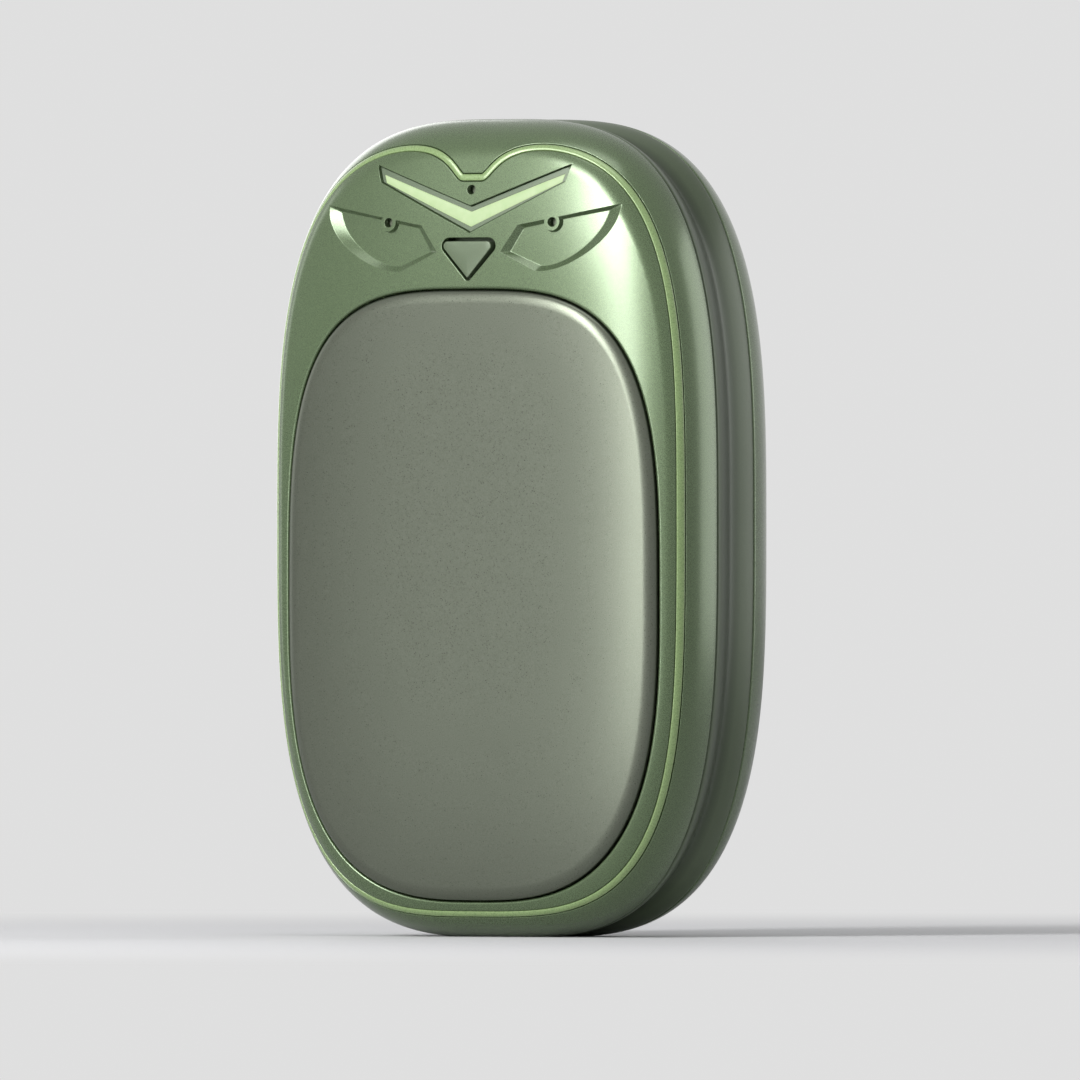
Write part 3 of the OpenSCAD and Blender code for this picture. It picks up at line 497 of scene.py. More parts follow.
def plain(name, dark, light, grain, roughness, metal=0.0, relief=0.004, stretch=(1, 1, 1)):
    # A moulded, cast or foil finish: two tones over a grain, a little unevenness in the gloss, and relief
    rules = plainRules
    f = Finish(name, Metallic=metal)
    small, share = f.noise(grain, rules["detail"], rules["rough"], f.stretched(*stretch)), rules["cloudShare"]
    tint = f.range(small * (1 - share) + f.noise(rules["cloud"]) * share, *rules["tint"])
    gloss = [roughness + stray for stray in rules["stray"]]
    f.set(Base_Color=f.blend(tint, tone(*dark), tone(*light)), Roughness=f.range(small, *rules["gloss"], gloss))
    f.bump(small, relief)
    return f.done()


# The inner pieces: dark tone, light tone, grain in millimetres, roughness, then metal, relief and stretch
plainLooks = {
    "clear_plastic": ((96, 104, 88), (124, 132, 112), 0.5, 0.2),
    "black_plastic": ((24, 25, 26), (34, 35, 36), 0.15, 0.5),
    "white_plastic": ((216, 214, 204), (228, 226, 218), 0.2, 0.42),
    "seal_black": ((18, 18, 18), (28, 28, 27), 0.1, 0.8, 0.0, 0.02),
    "film_amber": ((176, 104, 30), (198, 124, 42), 1.2, 0.25),
    "foam_grey": ((58, 60, 64), (78, 80, 84), 0.25, 0.95, 0.0, 0.06),
    "cell_foil": ((176, 180, 184), (202, 206, 208), 0.4, 0.3, 1.0, 0.004, (1, 1, 0.25)),
    "board_green": ((18, 84, 48), (28, 102, 60), 0.3, 0.35),
    "lamp_white": ((232, 226, 196), (240, 236, 212), 0.3, 0.3),
    "bright_steel": ((178, 180, 184), (206, 207, 210), 0.12, 0.28, 1.0, 0.004, (0.2, 1, 1)),
    "lead_red": ((172, 22, 20), (190, 34, 28), 0.4, 0.45),
    "lead_black": ((22, 22, 23), (32, 32, 33), 0.4, 0.45),
    "lead_white": ((214, 210, 196), (226, 222, 210), 0.4, 0.45),
}
slotFinishes = {name: paint(name, p) for name, p in paints.items()}
slotFinishes["lit_strip"] = litStrip()
slotFinishes.update({name: plain(name, *look) for name, look in plainLooks.items()})
slotOf = {part["node"]: part["material_slot"] for part in frame["record"]["subparts"]}
for nodeName, node in frame["nodes"].items():
    node.data.materials.clear()
    node.data.materials.append(slotFinishes[slotOf[nodeName]])

print("outlines")
# The trim ring: its middle line in the front view, its own section, and its groove's edge in the shell
trim = {
    "inset": 1.86, "endInset": 2.2, "power": 3.36, "tall": 1.4,
    "dip": 3.2, "dipHalf": 1.55, "dipReach": 2.85, "dipSoft": 0.85,
    "half": 0.42, "halfAside": 0.15,     # half its width, and what that gains at the sides
    "gap": 0.13, "depth": 0.5, "under": 0.04, "proud": 0.02, "crown": 0.05, "edge": 0.12,
    "grooveEdge": 0.09, "land": 0.06,
    "rows": 9, "columns": 520, "fine": 6000, "dense": 7, "denser": 3,
}


def trimLine():
    # The outline drawn in by inset + (endInset - inset) * sin(t)^2 + dip * e^(-distance / dipReach), where the
    # distance is measured from the dip, and with an exponent of its own. Round the dip its points lie closer
    t = turns(trim["fine"])
    unit = unitPoint(t, power)
    x = (halfWidth - trim["inset"]) * unit[:, 0]
    away = np.sqrt(np.maximum(np.abs(x) - trim["dipHalf"], 0) ** 2 + trim["dipSoft"] ** 2) - trim["dipSoft"]
    share = np.where(np.sin(t) > 0, np.exp(-away / trim["dipReach"]), 0)
    ratio = np.linalg.norm(unitPoint(t, trim["power"]), axis=1) / np.linalg.norm(unit, axis=1)
    q = trim["inset"] + (trim["endInset"] - trim["inset"]) * np.sin(t) ** 2
    q = q + trim["dip"] * share - halfWidth * (ratio - 1)
    line = unit * np.stack([halfWidth - q, halfHeight - trim["tall"] * q], -1)
    near = (np.abs(line[:, 0]) < trim["dense"]) * (line[:, 1] > 0)
    return respaced(line, trim["columns"], 1 + trim["denser"] * near)


trimMiddle = trimLine()
trimOut = sideways(np.roll(trimMiddle, -1, 0) - np.roll(trimMiddle, 1, 0))
trimNormal = skinNormals(trimMiddle)
# How much a distance across the ring shortens in the front view, from the slope of the skin there
trimShort = np.sqrt(1 - np.sum(trimNormal[:, [0, 2]] * trimOut, 1) ** 2)
trimTurn = np.arctan2(trimMiddle[:, 1] / halfHeight, trimMiddle[:, 0] / halfWidth)
trimHalf = trim["half"] + trim["halfAside"] * np.cos(trimTurn) ** 2


def acrossTrim(across, depth):
    # Point of the skin at a distance across the ring, plus outward, then a depth along the skin's normal there
    flat = trimMiddle + trimOut * (across * trimShort)[:, None]
    return onSkin(flat) - depth * trimNormal


# The plates and their openings: half a superellipse above its middle and a rounder half below
plate = {
    "halfWidth": 27.3, "halfHeight": 39.2, "middle": -8.6, "upperPower": 3.3, "lowerPower": 2.9,
    "opening": 0.11, "inside": -0.09,    # what the opening and the plate add all round
    "bedEdge": 0.42, "bedDepth": 1.7, "bedLand": 0.16, "bedSteps": 8, "ledge": 1.6,
    "proud": 0.22, "ease": 0.28,         # how far it stands out, and the share by which its crown is flatter
    "edge": 1.7, "drop": 0.72, "land": 0.12, "steps": 16, "wall": 1.7, "rim": 1.3, "thick": 0.95,
    "net": 1.0, "backNet": 3.0, "columns": 420, "fine": 4000,
}


def plateLoop(extra):
    t = turns(plate["fine"])
    upper, lower = unitPoint(t, plate["upperPower"]), unitPoint(t, plate["lowerPower"])
    unit = np.where((np.sin(t) > 0)[:, None], upper, lower)
    loop = unit * [plate["halfWidth"] + extra, plate["halfHeight"] + extra] + [0, plate["middle"]]
    return respaced(loop, plate["columns"])


# Pinholes with light pipes: one in the middle and one in each eye
pins = {"middle": (0.0, 43.45), "aside": (12.107, 39.252), "radius": 0.6, "edge": 0.06, "land": 0.08,
        "depth": 1.0, "wall": 1.2, "gap": 0.03, "dome": 0.25, "steps": 6, "end": 4.2}
pinPlaces = [pins["middle"], pins["aside"], (-pins["aside"][0], pins["aside"][1])]

# Eye-shaped recesses: the corners of the outer edge and of the floor; the wall's rows are shares of the way to
# the floor's outline and of the depth
eye = {
    "outer": [(4.65, 35.45), (9.95, 32.95), (12.6, 33.15), (15.1, 34.1), (17.6, 35.5), (19.5, 36.95),
              (21.0, 39.0), (21.5, 40.4), (21.75, 41.6)],
    "floor": [(5.85, 35.5), (10.4, 33.65), (12.5, 33.85), (14.7, 34.85), (16.7, 36.1), (18.1, 37.35),
              (19.15, 38.85), (19.55, 39.8), (19.9, 40.75)],
    "topOuter": [(14.0, 40.12), (7.1, 38.9)],
    "topFloor": [(14.0, 39.72), (7.75, 38.5)],
    "wall": [(0.0, 0.0), (0.03, 0.02), (0.08, 0.08), (0.93, 0.93), (0.98, 0.985), (1.0, 1.0), (1.12, 1.0)],
    "depth": 0.66, "collar": 1.1, "collarFoot": 1.32, "land": 0.14,
    "degree": 4, "curve": 25, "arc": 15, "step": 0.35, "net": 0.5,
}


def collarArc(a, b, radius):
    # Arc round the pinhole, below the line from a to b, from where the line meets the circle on a's side
    a, b, pin = np.array(a), np.array(b), np.array(pins["aside"])
    d = (b - a) / np.linalg.norm(b - a)
    foot = a + d * np.dot(pin - a, d)
    half = np.sqrt(radius ** 2 - np.sum((pin - foot) ** 2))
    start, end = foot - d * half - pin, foot + d * half - pin
    first, last = np.arctan2(start[1], start[0]), np.arctan2(end[1], end[0])
    return pin + radius * rays(np.linspace(first, last - 2 * np.pi * (last > first), eye["arc"]))


def eyeCorners(corners, top, radius):
    # The inner corner, a smooth curve through the others, and the top line with its arc round the pinhole.
    # The curve: x and z are polynomials of the fourth degree of the distance along the corners
    bent = np.array(corners[1:])
    along = np.append(0, np.cumsum(np.hypot(*np.diff(bent, axis=0).T)))
    at = np.linspace(0, along[-1], eye["curve"])
    curve = np.stack([np.polyval(np.polyfit(along, bent[:, i], eye["degree"]), at) for i in (0, 1)], -1)
    curve[0], curve[-1] = bent[0], bent[-1]
    return np.concatenate([[corners[0]], curve, [top[0]], collarArc(top[0], top[1], radius), [top[1]]])


def eyeLoops(side):
    outer = eyeCorners(eye["outer"], eye["topOuter"], eye["collar"])
    floor = eyeCorners(eye["floor"], eye["topFloor"], eye["collarFoot"])
    counts = edgeCounts(outer, eye["step"])
    outer, floor = divided(outer, counts), divided(floor, counts)
    return (outer, floor) if side > 0 else (outer[::-1] * [-1, 1], floor[::-1] * [-1, 1])


# The light bar's recess and lit strip: half width, top in the middle, rise to the tips, height in the middle
# and at the tips, lean of the tips' ends
bar = {
    "recess": (14.35, 41.4, 5.3, 3.5, 2.3, 0.75), "strip": (13.35, 40.6, 4.806, 1.9, 1.02, 0.35), "step": 0.5,
    "depth": 0.42, "floor": 1.05, "guide": 4.4,
    "edge": 0.07, "land": 0.12, "slotGap": 0.05,
    "bezelGap": 0.12, "bezelLap": 0.03, "bezelEdge": 0.05, "under": 0.02,
    "stripRise": 0.04, "stripEdge": 0.06, "stripEase": 0.3,
    "net": 0.9, "bezelNet": 0.7, "stripNet": 0.6,
}


def chevron(half, top, rise, middleHeight, tipHeight, lean):
    # Six corners of a wide V, anticlockwise
    tip = top + rise
    corners = np.array([(-half, tip), (-half + lean, tip - tipHeight), (0, top - middleHeight),
                        (half - lean, tip - tipHeight), (half, tip), (0, top)])
    return divided(corners, edgeCounts(corners, bar["step"]))


# The triangular button, its tip down, in a hole with a rounded edge
button = {
    "half": 3.95, "top": 37.26, "height": 5.47, "corner": 1.05, "tip": 0.5, "arc": 9, "leastRound": 0.12,
    "gap": 0.44, "proud": 0.3, "capEdge": 0.1, "centre": 0.42,
    "face": [(0.0, 0.06), (0.25, 0.055), (0.5, 0.045), (0.75, 0.02)],    # share of the outline, and rise
    "flange": 1.45, "flangeDepths": (2.9, 2.95, 3.5), "stem": 1.1,
    "holeEdge": 0.12, "holeLand": 0.12, "holeWall": 1.2,
}


def buttonLoop(shrink=0.0):
    # Three arcs that share tangents, drawn in by a distance
    cx, cz = button["half"] - button["corner"], button["top"] - button["corner"]
    tz = button["top"] - button["height"] + button["tip"]
    lean = np.arcsin((button["corner"] - button["tip"]) / np.hypot(cx, cz - tz))
    turn = np.arctan2(cz - tz, cx) - np.pi / 2 + lean
    arcs = []
    for place, r, a, b in (((cx, cz), button["corner"], turn, np.pi / 2),
                           ((-cx, cz), button["corner"], np.pi / 2, np.pi - turn),
                           ((0, tz), button["tip"], np.pi - turn, 2 * np.pi + turn)):
        radius = max(r - shrink, button["leastRound"])
        arcs.append(np.array(place) + radius * rays(np.linspace(a, b, button["arc"])))
    return np.concatenate(arcs)


recessLoop, stripLoop = chevron(*bar["recess"]), chevron(*bar["strip"])
openingLoop = plateLoop(plate["opening"])
bedRows = roundEdge(plate["bedEdge"], plate["bedDepth"], plate["bedLand"], plate["bedSteps"])

# The shells: the small bevel at the seam (inset, rise), the rounded side's rows, and the inner skin, which is
# the outer one drawn in by a wall and lowered by the lift
shell = {
    "bevel": [(0.45, 0.0), (0.19, 0.0), (0.10, 0.03), (0.035, 0.1), (0.008, 0.2)],
    "firstInset": 0.005, "rows": 26,
    "wall": 1.6, "lift": 2.4, "step": 0.985, "innerNet": 2.2, "net": 0.45,
    "backColumns": 360, "backEdge": 2.2, "backNet": 0.8,
}


def innerSkin(flat):
    # max(seam, outer - lift * min(1, (outer - seam) / flank)), where the outer skin is squeezed into the inner
    # outline
    x = flat[..., 0] * halfWidth / (halfWidth - shell["wall"])
    z = flat[..., 1] * halfHeight / (halfHeight - shell["wall"])
    outer, seam = level(insetAt(x, z)), body["seam"]
    return inSpace(flat, -np.maximum(outer - shell["lift"] * np.minimum(1, (outer - seam) / flank), seam))


def shellBand(surface, q, tEdge, t, side):
    # The rounded side, from the seam's bevel to the inset q: each row's inset is q * s^2 and its direction
    # t + (tEdge - t) * s, for shares s up to 1
    first = np.sqrt(shell["firstInset"] / q)
    rings = [inSpace(ringAt(inset, t), -body["seam"] - rise) for inset, rise in shell["bevel"]]
    for share in np.linspace(0, 1, shell["rows"]):
        s = first + (1 - first) * share
        rings.append(inSpace(ringAt(q * s ** 2, t + (tEdge - t) * s), -level(q * s ** 2)))
    surface.rings([mirrored(footed(r), side) for r in rings])


def shellInside(surface, t, side, holes):
    # The seam's rim, then the inner skin with the holes that go through
    rim = ringAt(shell["bevel"][0][0], t)
    inner = rim * [(halfWidth - shell["wall"]) / halfWidth, (halfHeight - shell["wall"]) / halfHeight]
    step = inner * shell["step"]
    rings = [footed(inSpace(rim, -body["seam"])), inSpace(inner, -body["seam"]), innerSkin(step)]
    surface.rings([mirrored(r, side) for r in rings])
    surface.sheet([step] + holes, shell["innerNet"], lambda p: mirrored(innerSkin(p), side))


def plateBed(surface, side):
    # The opening's rounded edge, its wall down to the ledge, and the ledge's own edge. Returns the outlines of
    # the land and of the ledge
    ledge = grown(openingLoop, -plate["ledge"])
    rings = wellRows(openingLoop, bedRows) + [onSkin(ledge, bedRows[-1][1]), innerSkin(ledge)]
    surface.rings([mirrored(r, side) for r in rings])
    return grown(openingLoop, -bedRows[0][0]), ledge


def buildFrontShell():
    surface = Surface()
    # Groove for the trim ring: rounded edges, steep walls and a flat floor
    edge, r = trimHalf + trim["gap"], trim["grooveEdge"]
    section = [(r + trim["land"], 0.0)] + quarterRound(r, fine["corner"]) + [(0.0, trim["depth"])]
    rings = [acrossTrim(edge + a, h) for a, h in section]
    rings += [acrossTrim(-edge - a, h) for a, h in reversed(section)]
    surface.rings([footed(ring) for ring in rings])
    outerFlat, innerFlat = rings[0][:, [0, 2]], rings[-1][:, [0, 2]]
    q = insetAt(outerFlat[:, 0], outerFlat[:, 1])
    t = np.unwrap(directionOf(trimMiddle, insetAt(trimMiddle[:, 0], trimMiddle[:, 1])))
    shellBand(surface, q, np.unwrap(directionOf(outerFlat, q)), t, 1)
    land, ledge = plateBed(surface, 1)
    holes, through = [], [ledge]
    # Eye recesses: a crisp edge, a sloping wall that follows both outlines, and the floor
    for side in (-1, 1):
        outer, floor = eyeLoops(side)
        guard = grown(outer, eye["land"])
        rows = [onSkin(outer + (floor - outer) * s, eye["depth"] * d) for s, d in eye["wall"]]
        surface.rings([onSkin(guard)] + rows)
        last = eye["wall"][-1][0]
        surface.sheet([outer + (floor - outer) * last], eye["net"], lambda p: onSkin(p, eye["depth"]))
        holes.append(guard)
    # Recess of the light bar, with the slot of its light guide
    rows = roundEdge(bar["edge"], bar["floor"], bar["land"])
    slot = grown(stripLoop, bar["slotGap"])
    surface.rings(wellRows(recessLoop, rows))
    surface.sheet([recessLoop, slot], bar["net"], lambda p: onSkin(p, bar["floor"]))
    surface.rings([onSkin(slot, bar["floor"]), innerSkin(slot)])
    holes.append(grown(recessLoop, -rows[0][0]))
    through.append(slot)
    # Holes of the button and of the three light pipes
    wells = [(buttonLoop(), roundEdge(button["holeEdge"], button["holeWall"], button["holeLand"]))]
    wells += [(circle(place, pins["radius"]), roundEdge(pins["edge"], pins["wall"], pins["land"]))
              for place in pinPlaces]
    for hole, rows in wells:
        surface.rings(wellRows(hole, rows) + [innerSkin(hole)])
        holes.append(grown(hole, -rows[0][0]))
        through.append(hole)
    surface.sheet([innerFlat, land] + holes, shell["net"], onSkin)
    shellInside(surface, t, 1, through)
    surface.build("front_shell", "shell_green", normals=skinShading())


def buildBackShell():
    # The same skin behind the middle plane, without the face
    surface = Surface()
    land, ledge = plateBed(surface, -1)
    t = turns(shell["backColumns"])
    edge = np.full_like(t, shell["backEdge"])
    shellBand(surface, edge, t, t, -1)
    surface.sheet([ringAt(edge, t), land], shell["backNet"], lambda p: mirrored(onSkin(p), -1))
    shellInside(surface, t, -1, [ledge])
    surface.build("back_shell", "shell_green", normals=skinShading(-1))


def buildTrimRing():
    # Ring let into the groove, with rounded corners and a top that rises by crown * (1 - s^2) across it
    surface = Surface()
    r, proud = trim["edge"], trim["proud"]
    corner = [(0.0, trim["depth"] - trim["under"])]
    corner += [(h, a - proud) for a, h in quarterRound(r, fine["corner"])]
    rings = [acrossTrim(trimHalf - a, h) for a, h in corner]
    shares = np.linspace(1, -1, trim["rows"])[1:-1]
    rings += [acrossTrim((trimHalf - r) * s, -proud - trim["crown"] * (1 - s * s)) for s in shares]
    rings += [acrossTrim(-trimHalf + a, h) for a, h in reversed(corner)]
    surface.rings([footed(ring) for ring in rings + rings[:1]])
    surface.build("trim_ring", "trim_green")


def onPlate(flat, depth=0.0):
    # The skin raised by proud + ease * (front - level), which makes the crown flatter, then a depth behind it
    y = level(insetAt(flat[..., 0], flat[..., 1]))
    return inSpace(flat, -y - (plate["proud"] + plate["ease"] * (body["front"] - y)) + depth)


def buildPlate(node, side):
    # Domed plate: its edge is a quarter of an ellipse, then come the wall down into the gap and the hollow back
    surface = Surface()
    loop = plateLoop(plate["inside"])
    rows = [(plate["edge"] + plate["land"], 0.0)] + quarterRound(plate["edge"], plate["steps"], plate["drop"])
    rows += [(0.0, plate["wall"]), (plate["rim"], plate["wall"]), (plate["rim"], plate["thick"])]
    surface.rings([mirrored(onPlate(grown(loop, -a), h), side) for a, h in rows])
    surface.sheet([grown(loop, -rows[0][0])], plate["net"], lambda p: mirrored(onPlate(p), side))
    back = grown(loop, -plate["rim"])
    surface.sheet([back], plate["backNet"], lambda p: mirrored(onPlate(p, plate["thick"]), side))
    surface.build(node, "plate_paint", normals=skinShading(side, plate["proud"], plate["ease"]))


def buildBezel():
    # A flat ring at one depth below the skin, between the recess and the strip
    surface = Surface()
    outer, inner = grown(recessLoop, -bar["bezelGap"]), grown(stripLoop, bar["bezelLap"])
    top, bottom, r = bar["depth"], bar["floor"] - bar["under"], bar["bezelEdge"]
    edge = grown(outer, -r)
    surface.rings([onSkin(outer, bottom), onSkin(outer, top + r), onSkin(edge, top)])
    surface.sheet([edge, inner], bar["bezelNet"], lambda p: onSkin(p, top))
    surface.rings([onSkin(inner, top), onSkin(inner, bottom)])
    surface.sheet([outer, inner], bar["net"], lambda p: onSkin(p, bottom))
    surface.build("light_bar_bezel", "bezel_green")


def buildStrip():
    # A lit face that follows the skin, with a soft edge, and its guide behind
    surface = Surface()
    face, r, ease = bar["depth"] - bar["stripRise"], bar["stripEdge"], bar["stripEdge"] * bar["stripEase"]
    edge = grown(stripLoop, -r)
    surface.rings([onSkin(stripLoop, bar["guide"]), onSkin(stripLoop, face + r),
                   onSkin(grown(stripLoop, -ease), face + ease), onSkin(edge, face)])
    surface.sheet([edge], bar["stripNet"], lambda p: onSkin(p, face))
    surface.sheet([stripLoop], bar["net"], lambda p: onSkin(p, bar["guide"]))
    surface.build("light_bar", "lit_strip")


def buildPipes():
    # Three clear rods, set back in their holes. Their domed ends: radius * sin a, dome * (1 - cos a)
    surface = Surface()
    radius = pins["radius"] - pins["gap"]
    for place in pinPlaces:
        rings = [onSkin(circle(place, radius * np.sin(a)), pins["depth"] + pins["dome"] * (1 - np.cos(a)))
                 for a in np.linspace(0, np.pi / 2, pins["steps"])]
        surface.rings(rings + [onSkin(circle(place, r), pins["end"]) for r in (radius, 0.0)])
    surface.build("indicator_light_pipes", "clear_plastic")


def buildButton():
    # Triangular cap with a rounded, slightly crowned face, a flange behind the shell's wall and a round stem
    surface = Surface()
    loop = buttonLoop(button["gap"])
    centre = np.array([0, button["top"] - button["height"] * button["centre"]])
    base = onSkin(centre[None, :])[0, 1]
    face = base - button["proud"]
    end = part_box("power_button")[1].y / mm
    spokes = loop - centre
    rings = [inSpace(centre + spokes * share, face - rise) for share, rise in button["face"]]
    rings += [inSpace(grown(loop, -a), face + h) for a, h in quarterRound(button["capEdge"], fine["edge"])]
    wide, (near, middle, far) = centre + spokes * button["flange"], button["flangeDepths"]
    rings += [inSpace(loop, base + near), inSpace(wide, base + middle), inSpace(wide, base + far)]
    stem = centre + button["stem"] * spokes / np.linalg.norm(spokes, axis=1, keepdims=True)
    rings += [inSpace(stem, base + far), inSpace(stem, end), inSpace(centre + spokes * 0, end)]
    surface.rings(rings)
    surface.build("power_button", "button_green", "button")


# The waist frame: its hollow, which is shallower near the charging port, the grooves at the seams, and the
# port's slot
waist = {
    "hollow": 0.9, "atPort": 0.42, "portHalf": 8.0, "portFade": 9.0, "sharp": 1.6, "soft": 0.14, "wall": 2.9,
    "gap": 0.14, "groove": 0.5, "bevel": 0.22, "columns": 360, "rows": 31,
    "slotHalf": 4.57, "slotTall": 1.73, "slotArc": 15, "slotStep": 0.8, "slotEdge": 0.15,
    "patch": 7.0, "net": 0.7, "innerNet": 1.5,
}


def hollowAt(x, z):
    # Depth of the hollow: the full one, and less under the body where the charging port is
    share = np.clip((np.abs(x) - waist["portHalf"]) / waist["portFade"], 0, 1)
    share = np.where(z < 0, share * share * (3 - 2 * share), 1)
    return waist["atPort"] + (waist["hollow"] - waist["atPort"]) * share


def waistInset(y, hollow):
    # Inset of the waist: hollow * (1 - r)^sharp, where r grows with |y| and is rounded off in the middle
    reach, soft = body["seam"] - waist["gap"] - waist["bevel"], waist["soft"]
    r = (np.sqrt((np.abs(y) / reach) ** 2 + soft ** 2) - soft) / (np.sqrt(1 + soft ** 2) - soft)
    return hollow * np.clip(1 - r, 0, 1) ** waist["sharp"]


def buildWaist():
    surface = Surface()
    seam, gap, bevel, wall = body["seam"], waist["gap"], waist["bevel"], waist["wall"]
    t = turns(waist["columns"]) - np.pi / 2
    rim = ringAt(0, t)
    hollow = hollowAt(rim[:, 0], rim[:, 1])

    def ring(inset, y):
        return footed(inSpace(ringAt(inset, t), y))

    # Both seams: the inner face, the groove's floor and wall, and a rounded edge
    edge = [(waist["groove"], seam), (waist["groove"], seam - gap)]
    edge += [(inset, seam - gap - h) for inset, h in quarterRound(bevel, fine["edge"])]
    inner = {side: ring(wall, side * seam) for side in (-1, 1)}
    for side in (-1, 1):
        surface.rings([inner[side]] + [ring(inset, side * y) for inset, y in edge])
    # The hollow between them. Near the charging port its columns give way to a sheet with the port's slot in it
    reach = seam - gap - bevel
    middle = [ring(waistInset(y, hollow), y) for y in np.linspace(-reach, reach, waist["rows"])]
    last = int(np.argmax(middle[0][:, 0] > waist["patch"]))
    away = list(range(last, len(t) - last + 1))
    near = list(range(len(t) - last, len(t))) + list(range(last + 1))
    surface.rings([r[away] for r in middle], closed=False)
    surface.rings([inner[-1][away], inner[1][away]], closed=False)

    def lowest(flat, inset):
        # Height of the outline's underside at places (x, y): -(h - kq) * (1 - |x/(w - q)|^n)^(1/n)
        x = np.abs(flat[:, 0]) / (halfWidth - inset)
        z = -(halfHeight - tall * inset) * (1 - x ** power) ** (1 / power)
        return footed(np.stack([flat[:, 0], flat[:, 1], z], -1))

    def outside(flat):
        return lowest(flat, waistInset(flat[:, 1], waist["atPort"]))

    def border(rows):
        # Anticlockwise edge of the sheet, seen from above: the near columns of the first and the last row, and
        # the ends of the rows
        right, left = [r[near[-1], :2] for r in rows], [r[near[0], :2] for r in rows]
        return np.concatenate([rows[0][near][:-1, :2], right[:-1], rows[-1][near][:0:-1, :2], left[:0:-1]])

    radius = waist["slotTall"]
    half = radius * rays(np.linspace(-np.pi / 2, np.pi / 2, waist["slotArc"]))
    right = half + [waist["slotHalf"] - radius, 0]
    slot = np.concatenate([right, right[::-1] * [-1, 1]])
    slot = divided(slot, edgeCounts(slot, waist["slotStep"]))
    rows = [outside(grown(slot, a)) + [0, 0, h] for a, h in quarterRound(waist["slotEdge"], fine["corner"])]
    surface.sheet([border(middle), grown(slot, waist["slotEdge"])], waist["net"], outside)
    surface.rings(rows + [lowest(slot, wall)])
    surface.sheet([border([inner[-1], inner[1]]), slot], waist["innerNet"], lambda p: lowest(p, wall))
    surface.build("mid_frame", "waist_green")


print("pieces")
buildFrontShell()
buildBackShell()
buildTrimRing()
buildPlate("front_heat_plate", 1)
buildPlate("back_heat_plate", -1)
buildBezel()
buildStrip()
buildPipes()
buildButton()
buildWaist()

print("stage")
# The floor lies just under the object; away from it, it passes into the background. Distances are in metres
stage = {
    "floor": tone(210, 210, 212), "roughness": 0.7, "back": (0.74, 0.74, 0.74, 1),
    "soft": 0.3, "softTone": (0.62, 0.63, 0.64, 1),
    "under": 3e-5, "radii": (1e-4, 0.1, 0.2, 0.4, 0.8, 1.6, 3.0), "columns": 96,
    "fadeFrom": 0.06, "fadeTo": 0.32,
}


def floorPaint():
    f = Finish("floor_paint", Base_Color=stage["floor"], Roughness=stage["roughness"])
    away = f.node("ShaderNodeVectorMath", {"operation": "LENGTH"}, [f.where], "Value")
    fade = f.node("ShaderNodeMapRange", {"interpolation_type": "SMOOTHSTEP"},
                  [away, stage["fadeFrom"], stage["fadeTo"], 0.0, 1.0])
    light = f.node("ShaderNodeEmission", {}, {"Color": stage["back"], "Strength": 1.0})
    toCamera = f.ray("Is Camera Ray")
    faded = f.node("ShaderNodeMixShader", {}, [fade * toCamera, f.shader, light])
    # Seen from below, the floor is clear
    below = f.node("ShaderNodeNewGeometry", out="Backfacing") * toCamera
    return f.done(f.node("ShaderNodeMixShader", {}, [below, faded, f.node("ShaderNodeBsdfTransparent")]))


def buildFloor():
    # Flat disc of rings
    t = turns(stage["columns"])
    rings = [np.stack([r * np.cos(t), r * np.sin(t), 0 * t - stage["under"]], -1) for r in stage["radii"]]
    mesh = bpy.data.meshes.new("floor")
    mesh.from_pydata(np.concatenate(rings).tolist(), [], gridFaces(len(rings), len(t))[:, ::-1].tolist())
    mesh.update()
    mesh.materials.append(floorPaint())
    floor = bpy.data.objects.new("floor", mesh)
    bpy.context.scene.collection.objects.link(floor)


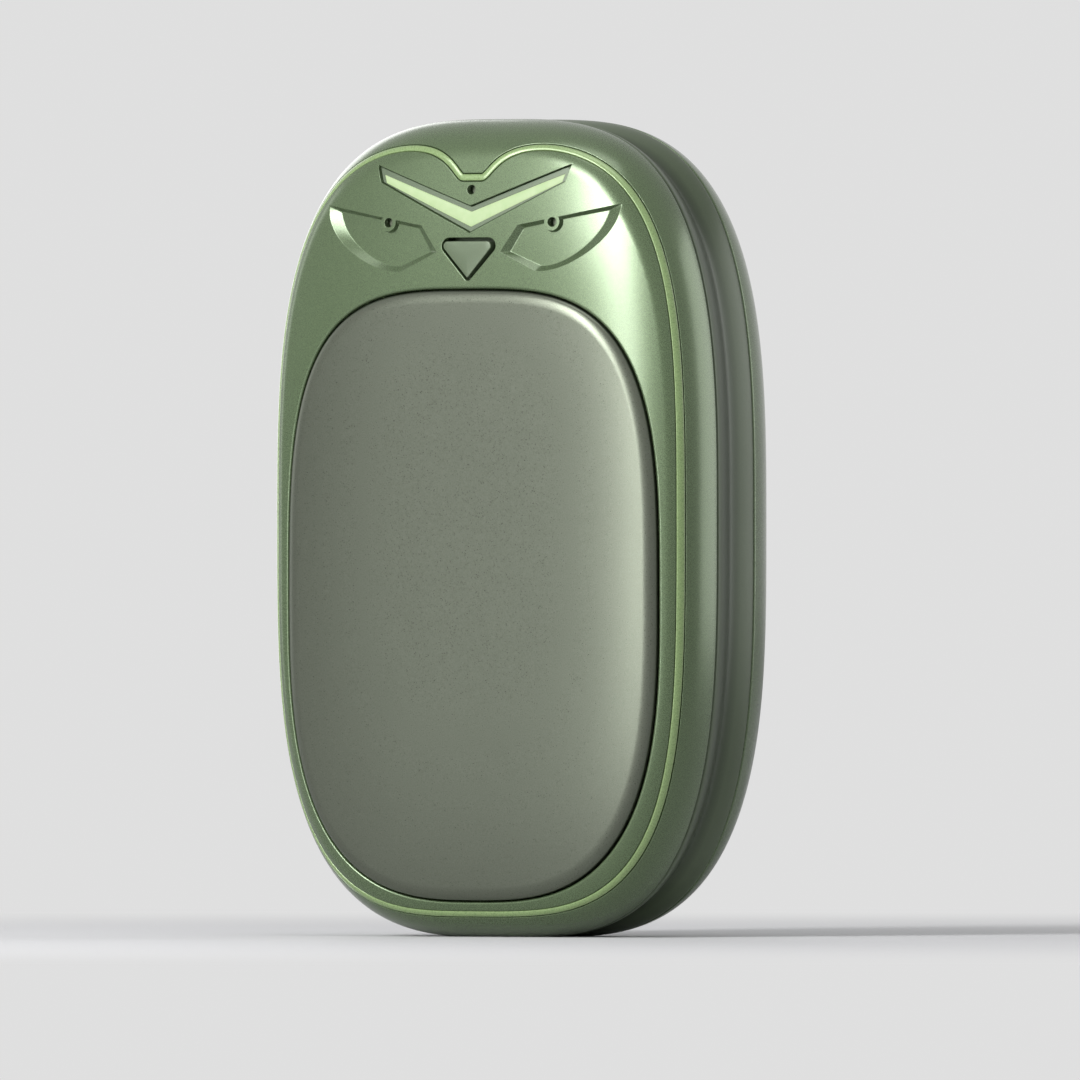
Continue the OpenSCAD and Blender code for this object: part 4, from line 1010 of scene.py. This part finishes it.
def buildSky():
    # Camera, glossy and transmitted rays see the background's colour; the others get a plain soft light
    world = bpy.data.worlds.new("studio")
    bpy.context.scene.world = world
    world.use_nodes = True
    sky = Nodes(world.node_tree)
    shown = sky.ray("Is Camera Ray")
    for kind in ("Is Glossy Ray", "Is Transmission Ray"):
        shown = sky.node("ShaderNodeMath", {"operation": "MAXIMUM"}, [shown, sky.ray(kind)])
    back = sky.node("ShaderNodeBackground", {}, {"Color": stage["back"]})
    soft = sky.node("ShaderNodeBackground", {}, {"Color": stage["softTone"], "Strength": stage["soft"]})
    sky.node("ShaderNodeOutputWorld", {}, [sky.node("ShaderNodeMixShader", {}, [shown, soft, back])])


# Soft boxes: azimuth, height angle, distance in metres, width, height, power
lamps = {
    "key": (-13, 27, 0.7, 0.17, 0.4, 3.0),
    "face": (-10, 13, 0.7, 0.12, 0.6, 2.8),
    "left": (-88, 10, 0.6, 0.12, 0.4, 0.2),
    "right": (130, 8, 0.8, 0.42, 0.6, 1.8),
    "top": (20, 76, 0.7, 0.4, 0.3, 1.0),
    "rear": (228, 12, 0.8, 0.4, 0.5, 1.0),
}
# A long lens, 30 degrees round; scale is pixels per millimetre, aside and height are where it looks
camera = {"azimuth": 30.0, "lens": 1200.0, "sensor": 36.0, "pixels": 1080, "scale": 7.778, "aside": 2.38,
          "height": 50.91, "near": 0.1, "far": 50}


def placed(name, data, target, azimuth, height, distance):
    # Object that looks at the target from an azimuth and a height angle
    a, e = np.radians(azimuth), np.radians(height)
    made = bpy.data.objects.new(name, data)
    made.location = target + distance * Vector((np.sin(a) * np.cos(e), -np.cos(a) * np.cos(e), np.sin(e)))
    made.rotation_euler = (target - made.location).to_track_quat("-Z", "Y").to_euler()
    bpy.context.scene.collection.objects.link(made)
    return made


def buildLights():
    for name, (azimuth, height, distance, width, tallness, energy) in lamps.items():
        lamp = bpy.data.lights.new(name, "AREA")
        lamp.shape, lamp.size, lamp.size_y, lamp.energy = "RECTANGLE", width, tallness, energy
        placed(name, lamp, Vector((0, 0, body["middle"] * mm)), azimuth, height, distance)


def buildCamera():
    data = bpy.data.cameras.new("camera")
    data.lens, data.sensor_width = camera["lens"], camera["sensor"]
    data.clip_start, data.clip_end = camera["near"], camera["far"]
    distance = camera["pixels"] / camera["scale"] * mm * camera["lens"] / camera["sensor"]
    turn, aside = np.radians(camera["azimuth"]), camera["aside"] * mm
    target = Vector((aside * np.cos(turn), aside * np.sin(turn), camera["height"] * mm))
    bpy.context.scene.camera = placed("camera", data, target, camera["azimuth"], 0, distance)


buildFloor()
buildSky()
buildLights()
buildCamera()
bpy.context.scene.view_settings.view_transform = "Standard"

print("finish")
